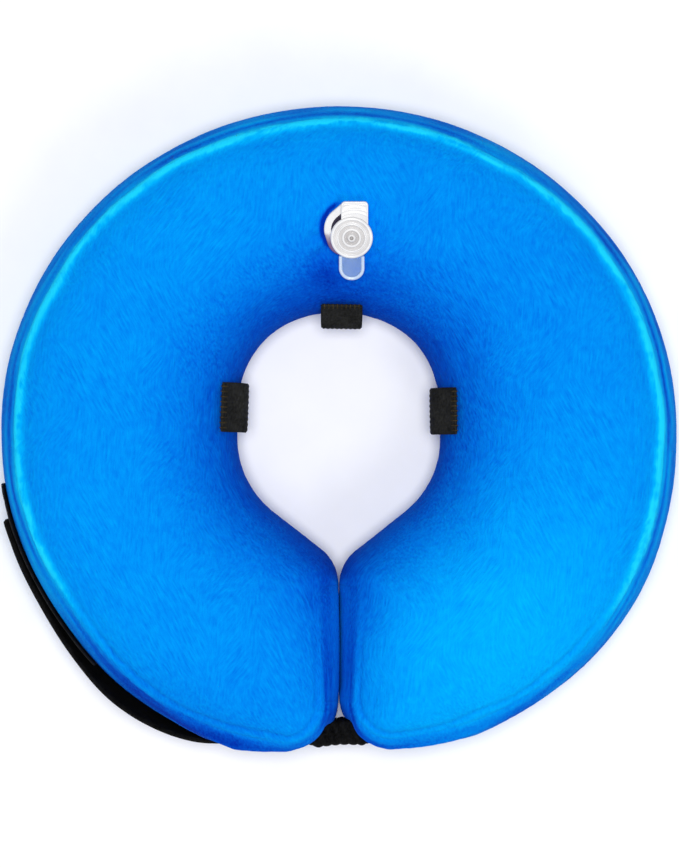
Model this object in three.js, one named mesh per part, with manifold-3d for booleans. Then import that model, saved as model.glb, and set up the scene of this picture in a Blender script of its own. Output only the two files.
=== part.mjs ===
// Inflatable recovery collar for a small pet: a C-shaped plush cushion sewn from two faces and a
// side band, an air bladder inside it, a soft plastic valve, three webbing loops around the neck
// hole and a webbing strap that closes the C. It lies on its back with the valve on top.
// Units are millimetres, X to the right, Y towards the valve end of the ring and Z up.
import * as THREE from "three";
import Module from "manifold-3d";

const wasm = await Module();
wasm.setup();

// Overall size of the cushion
const COLLAR_WIDTH = 203.2;
const RIM_RISE = 98;
const LEFT_LIMB_REACH = 97.9;
const RIGHT_LIMB_REACH = 96.7;
const COLLAR_DEPTH = 60;
const RIM_CENTRE_Y = -0.6;
const RIM_EXPONENT_TOP = 2;
const RIM_EXPONENT_BOTTOM = 2.2;
const SUPERELLIPSE_STEPS = 60;

// The closed strap presses the left rim in: share of the half width, place and reach along Y
const STRAP_PRESS = 0.037;
const STRAP_PRESS_Y = -66;
const STRAP_PRESS_REACH = 32;

// Neck hole, the taper below it and the two limb ends
const NECK_WIDTH = 61;
const NECK_RISE = 30.7;
const NECK_CENTRE_Y = 4;
const NECK_EXPONENT = 2.2;
const NECK_WAIST = 7.2;
const NECK_LOWER_RADIUS = 28.2;
const NECK_TAPER_ANGLE = THREE.MathUtils.degToRad(38);
const SHOULDER_RADIUS = 13.3;
const CORNER_RADIUS = 16;
const LIMB_GAP = 0.4;

// Section of the inflated ring
const RIM_SECTION_EXPONENT = 2.9;
const NECK_SECTION_EXPONENT = 2.2;
const CROWN_SKEW = 1.22;
const END_ROUNDING = 26;
const CORNER_BLEND = 3;
const REST_CRUSH = 1.2;
const COVER_WALL = 2.4;
const SEAM_INSET = 5.6;
const SEAM_INSET_EXTRA = 1.8;
const SEAM_EXTRA_START_Y = -50;
const SEAM_EXTRA_FULL_Y = -90;
const SEAM_GAP = 0.3;
const PANEL_EDGE = 7;
const BLADDER_CLEARANCE = 0.7;
const BLADDER_WALL = 1;
const CROWN_STEPS = 5;

// Valve on the front face
const VALVE_X = 3.8;
const VALVE_Y = 57;
const VALVE_RIM_THICKNESS = 1.6;
const VALVE_STEM_RADIUS = 4.6;
const VALVE_BORE_RADIUS = 3.1;
const VALVE_STEM_DEPTH = 7.5;
const WELD_FLANGE_RADIUS = 6.6;
const WELD_FLANGE_DROP = 1.2;
const WELD_FLANGE_THICKNESS = 0.8;
const CAP_RADIUS = 6.3;
const CAP_THICKNESS = 1.3;
const CAP_RING_STEP = 0.3;
const PLUG_LENGTH = 3.5;
const HINGE_TAB_WIDTH = 9;
const HINGE_TAB_REACH = 11.7;
const HINGE_TAB_ROUNDING = 1.5;
const PULL_TAB_WIDTH = 7.5;
const PULL_TAB_REACH = 12.4;
const PULL_TAB_ROUNDING = 3.4;
const TAB_THICKNESS = 0.9;

// The valve's rim is drawn around two discs: one about the stem, one under the cap's hinge.
const VALVE_RIM_DISCS = [
  { x: -1.2, y: 2.2, radius: 7.6 },
  { x: -1.6, y: 8.2, radius: 3 },
];

// Face of the cap: radius of each step of its rings, and the level there in ring steps
const CAP_RINGS = [
  { radius: 4.9, level: 0 },
  { radius: 4.6, level: -1 },
  { radius: 3.7, level: -1 },
  { radius: 3.4, level: 1 },
  { radius: 2.3, level: 1 },
  { radius: 2, level: -1 },
  { radius: 1.3, level: -1 },
  { radius: 1.1, level: 2 },
  { radius: 0, level: 2 },
];

// Webbing
const LOOP_THICKNESS = 1.2;
const STRAP_WIDTH = 19;
const STRAP_THICKNESS = 1.8;
const STRAP_FOLD_THICKNESS = 1;
const STRAP_FOLD_HEIGHT = 2.7;
const STRAP_FOLD_LEAN = 0.4;
const STRAP_FOLD_BOW = 1.2;
const STRAP_FOLD_SWELL = 0.9;
const STRAP_FOLDS = 6;
const STEPS_PER_FOLD = 4;
const STRAP_END_ROUND = 3;
const ROUTE_STEPS = 34;
const PAD_THICKNESS = 0.8;
const PAD_WIDTH = 22;
const GROOVE_DEPTH = 5;
const GROOVE_LIP = 2.2;
const GROOVE_START_X = 42;
const GROOVE_FULL_X = 24;
const GROOVE_FACING_START = 0.35;
const GROOVE_FACING_FULL = 0.8;
const LOOP_END_LIFT = 1.15;
const LOOP_BEND_SHARE = 0.55;
const LOOP_KNEE_DROP = 5.2;
const LOOP_STEPS = 16;
const PAD_STEPS = 14;

// Smallest space between two pieces that touch on the real collar
const CLEARANCE = 0.3;

// Rows of the side band from its middle to the seam: inset in seam insets, how much of the wall
// thickness goes sideways there, and the share of the strap's groove (below zero it swells out).
const BAND_ROWS = [
  { inset: 0, lean: 1, groove: 1 },
  { inset: 0.13, lean: 0.97, groove: 1 },
  { inset: 0.3, lean: 0.92, groove: 0.5 },
  { inset: 0.55, lean: 0.85, groove: -GROOVE_LIP / GROOVE_DEPTH },
  { inset: 1, lean: 0.7, groove: 0 },
];

// Rows of a face just inside its seam: how far in, in panel edges, and the wall's lean
const FACE_ROWS = [
  { beyond: 0.43, lean: 0.5 },
  { beyond: 1, lean: 0.3 },
];

// The bladder's rows, few and plain
const BLADDER_ROWS = [
  { inset: 0, lean: 1, groove: 1 },
  { inset: 0.13, lean: 0.97, groove: 1 },
  { inset: 1, lean: 0.7, groove: 0 },
];

// Loops around the neck hole: place on its outline as an angle, width along the outline, how far
// the webbing stands into the hole and how far each end reaches back over the edge.
const LOOPS = [
  { name: "collar_loop_top", angle: 88.5, width: 12.4, stand: 4.5, reach: 3 },
  { name: "collar_loop_left", angle: 176, width: 14.8, stand: 2.8, reach: 5.4 },
  { name: "collar_loop_right", angle: 2, width: 14, stand: 2.8, reach: 5.4 },
];

// The strap on the left rim: angle about the ring's centre, and the distance from the rim, or from
// the groove's floor, to the strap's inner face in strap thicknesses.
const STRAP_ROUTE = [
  { angle: 195, stand: 0.8 },
  { angle: 203, stand: 0.82 },
  { angle: 211, stand: 1.0 },
  { angle: 219, stand: 1.45 },
  { angle: 227, stand: 2.0 },
  { angle: 233, stand: 2.05 },
  { angle: 239, stand: 1.65 },
  { angle: 244.5, stand: 0.9 },
  { angle: 249, stand: 0.45 },
  { angle: 254, stand: 0.38 },
  { angle: 259, stand: 0.3 },
  { angle: 263.5, stand: 0.3 },
];
const SEWN_FROM_ANGLE = 277.2;
const SEWN_TO_ANGLE = 288;
const SEWN_STEPS = 5;
const PAD_FROM_ANGLE = 189;
const PAD_TO_ANGLE = 224;

const HALF_WIDTH = COLLAR_WIDTH / 2;
const HALF_DEPTH = COLLAR_DEPTH / 2;
const NECK_HALF_WIDTH = NECK_WIDTH / 2;

const plush = { color: 0x0a83e0, roughness: 0.95, metalness: 0 };
const webbing = { color: 0x1a1a1a, roughness: 0.85, metalness: 0 };
const clearPvc = { color: 0xe6e9ee, roughness: 0.3, metalness: 0 };
const film = { color: 0xb9cfe0, roughness: 0.35, metalness: 0 };

// Outline of the ring

// A stretch of a superellipse as an even path, between two angles.
function superellipsePath(halfX, halfY, exponent, centreY, from, to) {
  const points = [];
  for (let k = 0; k <= SUPERELLIPSE_STEPS; k++) {
    const angle = THREE.MathUtils.lerp(from, to, k / SUPERELLIPSE_STEPS);
    const c = Math.cos(angle);
    const s = Math.sin(angle);
    const x = halfX * Math.sign(c) * Math.abs(c) ** (2 / exponent);
    const y = halfY * Math.sign(s) * Math.abs(s) ** (2 / exponent);
    points.push(new THREE.Vector2(x, centreY + y));
  }
  return new THREE.Path(points);
}

// Paths of the right half of the ring with a lower limb that reaches so far down. Each entry pairs
// a stretch of the rim with the stretch of the neck side that it faces.
function halfRing(reach) {
  const quarter = Math.PI / 2;
  const endX = LIMB_GAP / 2;
  const cornerX = endX + CORNER_RADIUS;
  const cornerShare = (cornerX / HALF_WIDTH) ** RIM_EXPONENT_BOTTOM;
  const cornerBottom = RIM_CENTRE_Y - reach * (1 - cornerShare) ** (1 / RIM_EXPONENT_BOTTOM);
  const cornerAngle = Math.acos((cornerX / HALF_WIDTH) ** (RIM_EXPONENT_BOTTOM / 2));
  const cornerY = cornerBottom + CORNER_RADIUS;

  const waistY = NECK_CENTRE_Y - NECK_WAIST;
  const lowerX = NECK_HALF_WIDTH - NECK_LOWER_RADIUS;
  const sweep = quarter - NECK_TAPER_ANGLE;
  const taperX = lowerX + NECK_LOWER_RADIUS * Math.cos(sweep);
  const taperY = waistY - NECK_LOWER_RADIUS * Math.sin(sweep);
  const shoulderX = endX + SHOULDER_RADIUS;
  const taperRun = (taperX + SHOULDER_RADIUS * Math.sin(NECK_TAPER_ANGLE) - shoulderX)
    / Math.cos(NECK_TAPER_ANGLE);
  const shoulderY = taperY - SHOULDER_RADIUS * Math.cos(NECK_TAPER_ANGLE)
    - taperRun * Math.sin(NECK_TAPER_ANGLE);
  const endMiddleY = (shoulderY + cornerY) / 2;

  const neckLower = new THREE.Path();
  neckLower.moveTo(NECK_HALF_WIDTH, NECK_CENTRE_Y);
  neckLower.lineTo(NECK_HALF_WIDTH, waistY);
  neckLower.absarc(lowerX, waistY, NECK_LOWER_RADIUS, 0, -sweep, true);
  neckLower.lineTo(
    taperX - taperRun * Math.cos(NECK_TAPER_ANGLE),
    taperY - taperRun * Math.sin(NECK_TAPER_ANGLE),
  );
  const corner = new THREE.Path();
  corner.absarc(cornerX, cornerY, CORNER_RADIUS, -quarter, -2 * quarter, true);
  const shoulder = new THREE.Path();
  shoulder.absarc(shoulderX, shoulderY, SHOULDER_RADIUS, quarter + NECK_TAPER_ANGLE, 2 * quarter);

  return [
    {
      rim: superellipsePath(HALF_WIDTH, RIM_RISE, RIM_EXPONENT_TOP, RIM_CENTRE_Y, quarter, 0),
      neck: superellipsePath(
        NECK_HALF_WIDTH, NECK_RISE, NECK_EXPONENT, NECK_CENTRE_Y, quarter, 0,
      ),
      steps: 6,
    },
    {
      rim: superellipsePath(
        HALF_WIDTH, reach, RIM_EXPONENT_BOTTOM, RIM_CENTRE_Y, 0, -cornerAngle,
      ),
      neck: neckLower,
      steps: 7,
    },
    { rim: corner, neck: shoulder, steps: 4 },
    {
      rim: new THREE.Path([
        new THREE.Vector2(endX, cornerY),
        new THREE.Vector2(endX, endMiddleY),
      ]),
      neck: new THREE.Path([
        new THREE.Vector2(endX, shoulderY),
        new THREE.Vector2(endX, endMiddleY),
      ]),
      steps: 2,
    },
  ];
}

// Points of one edge ("rim" or "neck") of a half, from the top to the middle of its end face.
function sampleEdge(half, edge, refine) {
  const points = [];
  for (const stretch of half) {
    const steps = stretch.steps * refine;
    for (let k = 0; k < steps; k++) points.push(stretch[edge].getPoint(k / steps));
  }
  points.push(half.at(-1)[edge].getPoint(1));
  return points;
}

const mirrored = (points) => points.map((p) => new THREE.Vector2(-p.x, p.y));

function pressedByStrap(p) {
  const away = (p.y - STRAP_PRESS_Y) / STRAP_PRESS_REACH;
  const fromEnd = p.x + LIMB_GAP / 2;
  return new THREE.Vector2(p.x - STRAP_PRESS * fromEnd * Math.exp(-(away ** 2)), p.y);
}

// The whole edge from the left end face over the top to the right end face.
function wholeEdge(edge, refine) {
  const half = mirrored(sampleEdge(halfRing(LEFT_LIMB_REACH), edge, refine)).reverse();
  const left = edge === "rim" ? half.map(pressedByStrap) : half;
  const right = sampleEdge(halfRing(RIGHT_LIMB_REACH), edge, refine);
  return [...left, ...right.slice(1)];
}

const rimPoints = wholeEdge("rim", 1);
const neckPoints = wholeEdge("neck", 1);
const STATIONS = rimPoints.length - 1;
const END_STEPS = halfRing(RIGHT_LIMB_REACH).at(-1).steps;

// The closed outline: along the rim from left to right and back along the neck side.
const outline = [...rimPoints, ...neckPoints.slice(1, -1).reverse()];
const LOOP = outline.length;
const inward = outline.map((_, j) => {
  const ahead = outline[(j + 1) % LOOP];
  const behind = outline[(j + LOOP - 1) % LOOP];
  const along = ahead.clone().sub(behind).normalize();
  return new THREE.Vector2(along.y, -along.x);
});

// Point and inward normal of the outline at a place between two of its points.
function outlineAt(place) {
  const wrapped = ((place % LOOP) + LOOP) % LOOP;
  const first = Math.floor(wrapped);
  const share = wrapped - first;
  const second = (first + 1) % LOOP;
  return {
    point: outline[first].clone().lerp(outline[second], share),
    inward: inward[first].clone().lerp(inward[second], share).normalize(),
  };
}

// Fine lines that the section's height is measured from
const DISTANCE_REFINE = 4;
const fineRim = wholeEdge("rim", DISTANCE_REFINE);
const fineNeck = wholeEdge("neck", DISTANCE_REFINE);
const fineEnd = END_STEPS * DISTANCE_REFINE;
const rimLine = fineRim.slice(fineEnd, -fineEnd);
const neckLine = fineNeck.slice(fineEnd, -fineEnd);
const endLines = [
  [rimLine[0], neckLine[0]],
  [rimLine.at(-1), neckLine.at(-1)],
];

function distanceToLine(x, y, line) {
  let nearest = Infinity;
  for (let k = 0; k + 1 < line.length; k++) {
    const a = line[k];
    const b = line[k + 1];
    const dx = b.x - a.x;
    const dy = b.y - a.y;
    const share = THREE.MathUtils.clamp(
      ((x - a.x) * dx + (y - a.y) * dy) / (dx * dx + dy * dy), 0, 1,
    );
    nearest = Math.min(nearest, Math.hypot(x - a.x - share * dx, y - a.y - share * dy));
  }
  return nearest;
}

// Half height of the inflated ring above its middle plane, for a surface that lies inset inside
// the cover's outer face. It is zero on the outline and level along the crown, which lies nearer
// to the rim than to the neck, where the section is rounder.
function halfHeight(x, y, inset) {
  const toNeck = Math.max(distanceToLine(x, y, neckLine) - inset, 0);
  const toRim = Math.max(distanceToLine(x, y, rimLine) - inset, 0);
  const ends = endLines.map((line) => distanceToLine(x, y, line));
  const toEnd = Math.max(Math.min(...ends) - inset, 0);
  const fromNeck = toNeck / (toNeck + toRim);
  const skewed = fromNeck ** CROWN_SKEW;
  const across = 4 * skewed * (1 - skewed);
  const along = 1 - (1 - Math.min(toEnd / END_ROUNDING, 1)) ** 2;
  if (across <= 0 || along <= 0) return 0;
  const fill = (across ** -CORNER_BLEND + along ** -CORNER_BLEND - 1) ** (-1 / CORNER_BLEND);
  const exponent = THREE.MathUtils.lerp(NECK_SECTION_EXPONENT, RIM_SECTION_EXPONENT, fromNeck);
  const shape = 1 - (1 - fill) ** (exponent / 2);
  return (HALF_DEPTH - inset) * shape ** (1 / exponent);
}

function seamInset(y) {
  const down = (SEAM_EXTRA_START_Y - y) / (SEAM_EXTRA_START_Y - SEAM_EXTRA_FULL_Y);
  return SEAM_INSET + SEAM_INSET_EXTRA * THREE.MathUtils.clamp(down, 0, 1);
}

// Share of the strap's groove at a point of the outline, only along the bottom of the limbs
function grooveShare(point, normal) {
  if (point.y > RIM_CENTRE_Y - LEFT_LIMB_REACH / 2) return 0;
  const along = (GROOVE_START_X - Math.abs(point.x)) / (GROOVE_START_X - GROOVE_FULL_X);
  const facing = (normal.y - GROOVE_FACING_START) / (GROOVE_FACING_FULL - GROOVE_FACING_START);
  return Math.min(
    THREE.MathUtils.smoothstep(along, 0, 1),
    THREE.MathUtils.smoothstep(facing, 0, 1),
  );
}

// A point of the surface that lies inset inside the cover, on the side (1 front, -1 back).
function surfacePoint(x, y, inset, side) {
  const height = halfHeight(x, y, inset);
  const level = HALF_DEPTH - REST_CRUSH - inset;
  return new THREE.Vector3(x, y, side > 0 ? height : -Math.min(height, level));
}

// A point of a row that runs along the outline.
function rowPoint(place, distance, lean, groove, inset, side) {
  const at = outlineAt(place);
  const base = at.point.clone().addScaledVector(at.inward, distance + inset * lean);
  const point = surfacePoint(base.x, base.y, inset, side);
  const dent = groove ? groove * GROOVE_DEPTH * grooveShare(at.point, at.inward) : 0;
  point.x += at.inward.x * dent;
  point.y += at.inward.y * dent;
  return point;
}

// Closed meshes from grids of points

class Facets {
  triangles = [];

  quad(a, b, c, d) {
    this.triangles.push([a, b, c], [a, c, d]);
  }

  // The quads of a grid, whose rows all have the same length.
  sheet(grid, turned) {
    for (let i = 0; i + 1 < grid.length; i++) {
      for (let j = 0; j + 1 < grid[i].length; j++) {
        const corners = [grid[i][j], grid[i + 1][j], grid[i + 1][j + 1], grid[i][j + 1]];
        this.quad(...(turned ? corners.reverse() : corners));
      }
    }
  }

  geometry() {
    const numbers = new Map();
    const positions = [];
    const number = (point) => {
      const key = point.toArray().map((value) => Math.round(value * 1000)).join(",");
      if (!numbers.has(key)) {
        numbers.set(key, numbers.size);
        positions.push(...point.toArray());
      }
      return numbers.get(key);
    };
    const index = [];
    for (const triangle of this.triangles) {
      const [a, b, c] = triangle.map(number);
      if (a !== b && b !== c && c !== a) index.push(a, b, c);
    }
    const made = new THREE.BufferGeometry();
    made.setAttribute("position", new THREE.Float32BufferAttribute(positions, 3));
    made.setIndex(index);
    made.computeVertexNormals();
    return made;
  }
}

// A wall between an outer and an inner grid, closed along the rows' ends, and along the first and
// last row unless these fold onto themselves.
function wall(outer, inner, closeRows) {
  const facets = new Facets();
  facets.sheet(outer, false);
  facets.sheet(inner, true);
  const last = outer[0].length - 1;
  facets.sheet([outer.map((row) => row[0]), inner.map((row) => row[0])], false);
  facets.sheet([outer.map((row) => row[last]), inner.map((row) => row[last])], true);
  if (closeRows) {
    facets.sheet([outer[0], inner[0]], true);
    facets.sheet([outer.at(-1), inner.at(-1)], false);
  }
  return facets.geometry();
}

// manifold-3d joins and cuts

function toSolid(geometry) {
  const merged = new Facets();
  const flat = geometry.index ? geometry.toNonIndexed() : geometry;
  const position = flat.getAttribute("position");
  for (let k = 0; k < position.count; k += 3) {
    const corner = (n) => new THREE.Vector3().fromBufferAttribute(position, k + n);
    merged.triangles.push([corner(0), corner(1), corner(2)]);
  }
  const closed = merged.geometry();
  return new wasm.Manifold(new wasm.Mesh({
    numProp: 3,
    vertProperties: closed.getAttribute("position").array,
    triVerts: new Uint32Array(closed.index.array),
  }));
}

function toGeometry(solid) {
  const mesh = solid.getMesh();
  const made = new THREE.BufferGeometry();
  made.setAttribute("position", new THREE.BufferAttribute(mesh.vertProperties, 3));
  made.setIndex(new THREE.BufferAttribute(mesh.triVerts, 1));
  made.computeVertexNormals();
  return made;
}

// Cover

// Points across a face at one station, from the neck seam to the rim seam.
function acrossFace(station, inset, side, rows, crownSteps) {
  const rimPlace = station;
  const neckPlace = LOOP - station;
  const edge = (place) => rows.map((row) => {
    const seam = seamInset(outlineAt(place).point.y);
    const distance = row.beyond === undefined
      ? seam * row.inset
      : seam + SEAM_GAP / 2 + row.beyond * PANEL_EDGE;
    return rowPoint(place, distance, row.lean, row.groove ?? 0, inset, side);
  });
  const neck = edge(neckPlace);
  const rim = edge(rimPlace);
  const crown = [];
  for (let k = 1; k < crownSteps; k++) {
    const middle = neck.at(-1).clone().lerp(rim.at(-1), k / crownSteps);
    crown.push(surfacePoint(middle.x, middle.y, inset, side));
  }
  return [...neck, ...crown, ...rim.reverse()];
}

function faceGrid(inset, side) {
  const seamRow = { beyond: 0, lean: BAND_ROWS.at(-1).lean };
  const grid = [];
  for (let station = 0; station <= STATIONS; station++) {
    grid.push(acrossFace(station, inset, side, [seamRow, ...FACE_ROWS], CROWN_STEPS));
  }
  return grid;
}

function face(side) {
  const outer = faceGrid(0, side);
  const inner = faceGrid(COVER_WALL, side);
  return side > 0 ? wall(outer, inner, false) : wall(inner, outer, false);
}

// A stretch of the side band between two places on the outline, open by a seam gap at each end.
function band(from, to) {
  const trim = (place, direction) => {
    const here = outlineAt(place).point;
    const next = outlineAt(place + direction).point;
    return place + (direction * SEAM_GAP) / 2 / here.distanceTo(next);
  };
  const places = [trim(from, 1)];
  for (let place = from + 1; place < to; place++) places.push(place);
  places.push(trim(to, -1));
  const grid = (inset) => places.map((place) => {
    const seam = seamInset(outlineAt(place).point.y);
    const row = (entry, side) => {
      const edge = entry.inset === 1 ? SEAM_GAP / 2 : 0;
      return rowPoint(place, seam * entry.inset - edge, entry.lean, entry.groove, inset, side);
    };
    const front = BAND_ROWS.map((entry) => row(entry, 1));
    const back = BAND_ROWS.slice(1).reverse().map((entry) => row(entry, -1));
    return [...back, ...front];
  });
  return wall(grid(COVER_WALL), grid(0), true);
}

// Bladder

// A closed skin all round the ring at a depth inside the cover.
function skin(inset) {
  const facets = new Facets();
  const sections = [];
  for (let station = 0; station <= STATIONS; station++) {
    const rows = [...BLADDER_ROWS, { beyond: 1, lean: FACE_ROWS.at(-1).lean }];
    const front = acrossFace(station, inset, 1, rows, CROWN_STEPS);
    const back = acrossFace(station, inset, -1, rows, CROWN_STEPS);
    sections.push([...front, ...back.reverse().slice(1)]);
  }
  facets.sheet(sections, false);
  return toSolid(facets.geometry());
}

// Valve, in a frame of its own with its axis along Z and the cover's surface at zero

const valve = new THREE.Group();
const slopeStep = 2;
const valveHeight = halfHeight(VALVE_X, VALVE_Y, 0);
const slopeX = (halfHeight(VALVE_X + slopeStep, VALVE_Y, 0) - valveHeight) / slopeStep;
const slopeY = (halfHeight(VALVE_X, VALVE_Y + slopeStep, 0) - valveHeight) / slopeStep;
const valveAxis = new THREE.Vector3(-slopeX, -slopeY, 1).normalize();
valve.position.set(VALVE_X, VALVE_Y, valveHeight);
valve.quaternion.setFromUnitVectors(new THREE.Vector3(0, 0, 1), valveAxis);
valve.updateMatrix();

const ROUND_SIDES = 24;

function lathe(profile) {
  const points = profile.map(([radius, z]) => new THREE.Vector2(radius, z));
  return new THREE.LatheGeometry(points, ROUND_SIDES).rotateX(Math.PI / 2);
}

// A round cutter along the valve's axis, in the collar's frame
function valveHole(radius) {
  const reach = HALF_DEPTH / 2;
  const rod = new THREE.CylinderGeometry(radius, radius, 2 * reach, ROUND_SIDES);
  return toSolid(rod.rotateX(Math.PI / 2).applyMatrix4(valve.matrix));
}

function valveBase() {
  const bladderTop = COVER_WALL + BLADDER_CLEARANCE;
  const weldTop = -bladderTop - BLADDER_WALL - CLEARANCE - WELD_FLANGE_DROP;
  const rimMiddle = CLEARANCE + VALVE_RIM_THICKNESS / 2;
  const stem = lathe([
    [VALVE_BORE_RADIUS, -VALVE_STEM_DEPTH],
    [VALVE_STEM_RADIUS, -VALVE_STEM_DEPTH],
    [VALVE_STEM_RADIUS, weldTop - WELD_FLANGE_THICKNESS],
    [WELD_FLANGE_RADIUS, weldTop - WELD_FLANGE_THICKNESS],
    [WELD_FLANGE_RADIUS, weldTop],
    [VALVE_STEM_RADIUS, weldTop],
    [VALVE_STEM_RADIUS, rimMiddle],
    [VALVE_BORE_RADIUS, rimMiddle],
    [VALVE_BORE_RADIUS, -VALVE_STEM_DEPTH],
  ]);
  const discs = VALVE_RIM_DISCS.map(({ x, y, radius }) => {
    const disc = new THREE.CylinderGeometry(radius, radius, VALVE_RIM_THICKNESS, ROUND_SIDES);
    return toSolid(disc.rotateX(Math.PI / 2).translate(x, y, rimMiddle));
  });
  const bore = lathe([
    [0, -VALVE_STEM_DEPTH],
    [VALVE_BORE_RADIUS, -VALVE_STEM_DEPTH],
    [VALVE_BORE_RADIUS, VALVE_STEM_DEPTH],
    [0, VALVE_STEM_DEPTH],
  ]);
  const rim = wasm.Manifold.hull(discs).subtract(toSolid(bore));
  return toGeometry(toSolid(stem).add(rim));
}

// A flat tab with a rounded end, from the cap's middle to its reach along Y.
function tab(width, reach, endRadius) {
  const half = width / 2;
  const shape = new THREE.Shape();
  const direction = Math.sign(reach);
  shape.moveTo(-half, 0);
  shape.lineTo(half, 0);
  shape.lineTo(half, reach - direction * endRadius);
  shape.quadraticCurveTo(half, reach, half - endRadius, reach);
  shape.lineTo(-half + endRadius, reach);
  shape.quadraticCurveTo(-half, reach, -half, reach - direction * endRadius);
  shape.closePath();
  return new THREE.ExtrudeGeometry(shape, {
    depth: TAB_THICKNESS, bevelEnabled: false, curveSegments: 4,
  });
}

function valveCap() {
  const under = CLEARANCE + VALVE_RIM_THICKNESS + CLEARANCE;
  const top = under + CAP_THICKNESS;
  const plugRadius = VALVE_BORE_RADIUS - CLEARANCE;
  const disc = lathe([
    [0, under - PLUG_LENGTH],
    [plugRadius, under - PLUG_LENGTH],
    [plugRadius, under],
    [CAP_RADIUS, under],
    [CAP_RADIUS, top],
    ...CAP_RINGS.map(({ radius, level }) => [radius, top + level * CAP_RING_STEP]),
  ]);
  const tabBottom = under + CAP_RING_STEP / 2;
  const hinge = tab(HINGE_TAB_WIDTH, HINGE_TAB_REACH, HINGE_TAB_ROUNDING);
  const pull = tab(PULL_TAB_WIDTH, -PULL_TAB_REACH, PULL_TAB_ROUNDING);
  const tabs = [hinge, pull].map((geometry) => toSolid(geometry.translate(0, 0, tabBottom)));
  return toGeometry(toSolid(disc).add(tabs[0]).add(tabs[1]));
}

// Webbing

// A strip of webbing along a line in its own XY plane, with a thickness and a width at each point.
// The width runs along Z and is centred on the plane.
function ribbon(line, thickness, widths) {
  const left = [];
  const right = [];
  line.forEach((point, k) => {
    const ahead = line[Math.min(k + 1, line.length - 1)];
    const behind = line[Math.max(k - 1, 0)];
    const along = ahead.clone().sub(behind).normalize();
    const side = new THREE.Vector2(-along.y, along.x).multiplyScalar(thickness[k] / 2);
    left.push(point.clone().add(side));
    right.push(point.clone().sub(side));
  });
  const facets = new Facets();
  const at = (point, z) => new THREE.Vector3(point.x, point.y, z);
  const ring = (k) => {
    const high = widths[k] / 2;
    const low = -high;
    return [
      at(left[k], low), at(right[k], low), at(right[k], high), at(left[k], high), at(left[k], low),
    ];
  };
  facets.sheet(line.map((_, k) => ring(k)), false);
  const [a, b, c, d] = ring(0);
  facets.quad(a, b, c, d);
  const [e, f, g, h] = ring(line.length - 1);
  facets.quad(h, g, f, e);
  return facets.geometry();
}

function smoothLine(points, steps) {
  const curve = new THREE.CatmullRomCurve3(points.map((p) => new THREE.Vector3(p.x, p.y, 0)));
  return curve.getSpacedPoints(steps).map((p) => new THREE.Vector2(p.x, p.y));
}

// Point, outward normal and place along the line of an edge of the ring, at an angle about a
// centre.
function edgeAtAngle(line, centreY, degrees) {
  const angle = THREE.MathUtils.degToRad(degrees);
  const direction = new THREE.Vector2(Math.cos(angle), Math.sin(angle));
  for (let k = 0; k + 1 < line.length; k++) {
    const a = line[k].clone().sub(new THREE.Vector2(0, centreY));
    const b = line[k + 1].clone().sub(new THREE.Vector2(0, centreY));
    const sideA = a.cross(direction);
    const sideB = b.cross(direction);
    if (sideA * sideB <= 0 && a.dot(direction) > 0) {
      const along = b.clone().sub(a).normalize();
      const share = sideA / (sideA - sideB);
      const point = a.lerp(b, share).add(new THREE.Vector2(0, centreY));
      return { point, outward: new THREE.Vector2(-along.y, along.x), place: k + share };
    }
  }
  throw new Error("no point of the edge lies at " + degrees + " degrees");
}

// A loop for the pet's own collar: it stands off the wall of the neck hole, with both ends lying
// on the cover just over the edge.
function collarLoop({ angle, width, stand, reach }) {
  const at = edgeAtAngle(neckLine, NECK_CENTRE_Y, angle);
  const lift = CLEARANCE + LOOP_THICKNESS / 2;
  const aside = new THREE.Vector2(-at.outward.y, at.outward.x);
  const highest = (distance) => Math.max(...[-width / 2, 0, width / 2].map((across) => {
    const p = at.point.clone().addScaledVector(at.outward, distance).addScaledVector(aside, across);
    return halfHeight(p.x, p.y, 0);
  }));
  const onCover = (distance) => {
    const height = highest(distance);
    const normal = new THREE.Vector2(highest(distance + 1) - height, 1).normalize();
    return new THREE.Vector2(-distance, height).addScaledVector(normal, lift * LOOP_END_LIFT);
  };
  const out = stand - LOOP_THICKNESS / 2;
  const end = onCover(reach);
  const bend = onCover(reach * LOOP_BEND_SHARE);
  const knee = new THREE.Vector2(out, bend.y - LOOP_KNEE_DROP);
  const upper = [end, bend, knee];
  const lower = upper.map((p) => new THREE.Vector2(p.x, -p.y)).reverse();
  const line = smoothLine([...upper, new THREE.Vector2(out, 0), ...lower], LOOP_STEPS);
  const made = ribbon(line, line.map(() => LOOP_THICKNESS), line.map(() => width));
  const intoHole = at.outward.clone().negate();
  const frame = new THREE.Matrix4().makeBasis(
    new THREE.Vector3(intoHole.x, intoHole.y, 0),
    new THREE.Vector3(0, 0, 1),
    new THREE.Vector3(intoHole.y, -intoHole.x, 0),
  );
  frame.setPosition(at.point.x, at.point.y, 0);
  return made.applyMatrix4(frame);
}

// Middle line of webbing that lies a distance off the rim, or off the groove's floor, at an angle.
function offRim(degrees, distance, thickness) {
  const at = edgeAtAngle(rimLine, RIM_CENTRE_Y, degrees);
  const { place } = edgeAtAngle(rimPoints, RIM_CENTRE_Y, degrees);
  const first = Math.floor(place);
  const [here, next] = [first, first + 1].map((j) => grooveShare(outline[j], inward[j]));
  const groove = GROOVE_DEPTH * THREE.MathUtils.lerp(here, next, place - first);
  return at.point.addScaledVector(at.outward, distance + thickness / 2 - groove);
}

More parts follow.
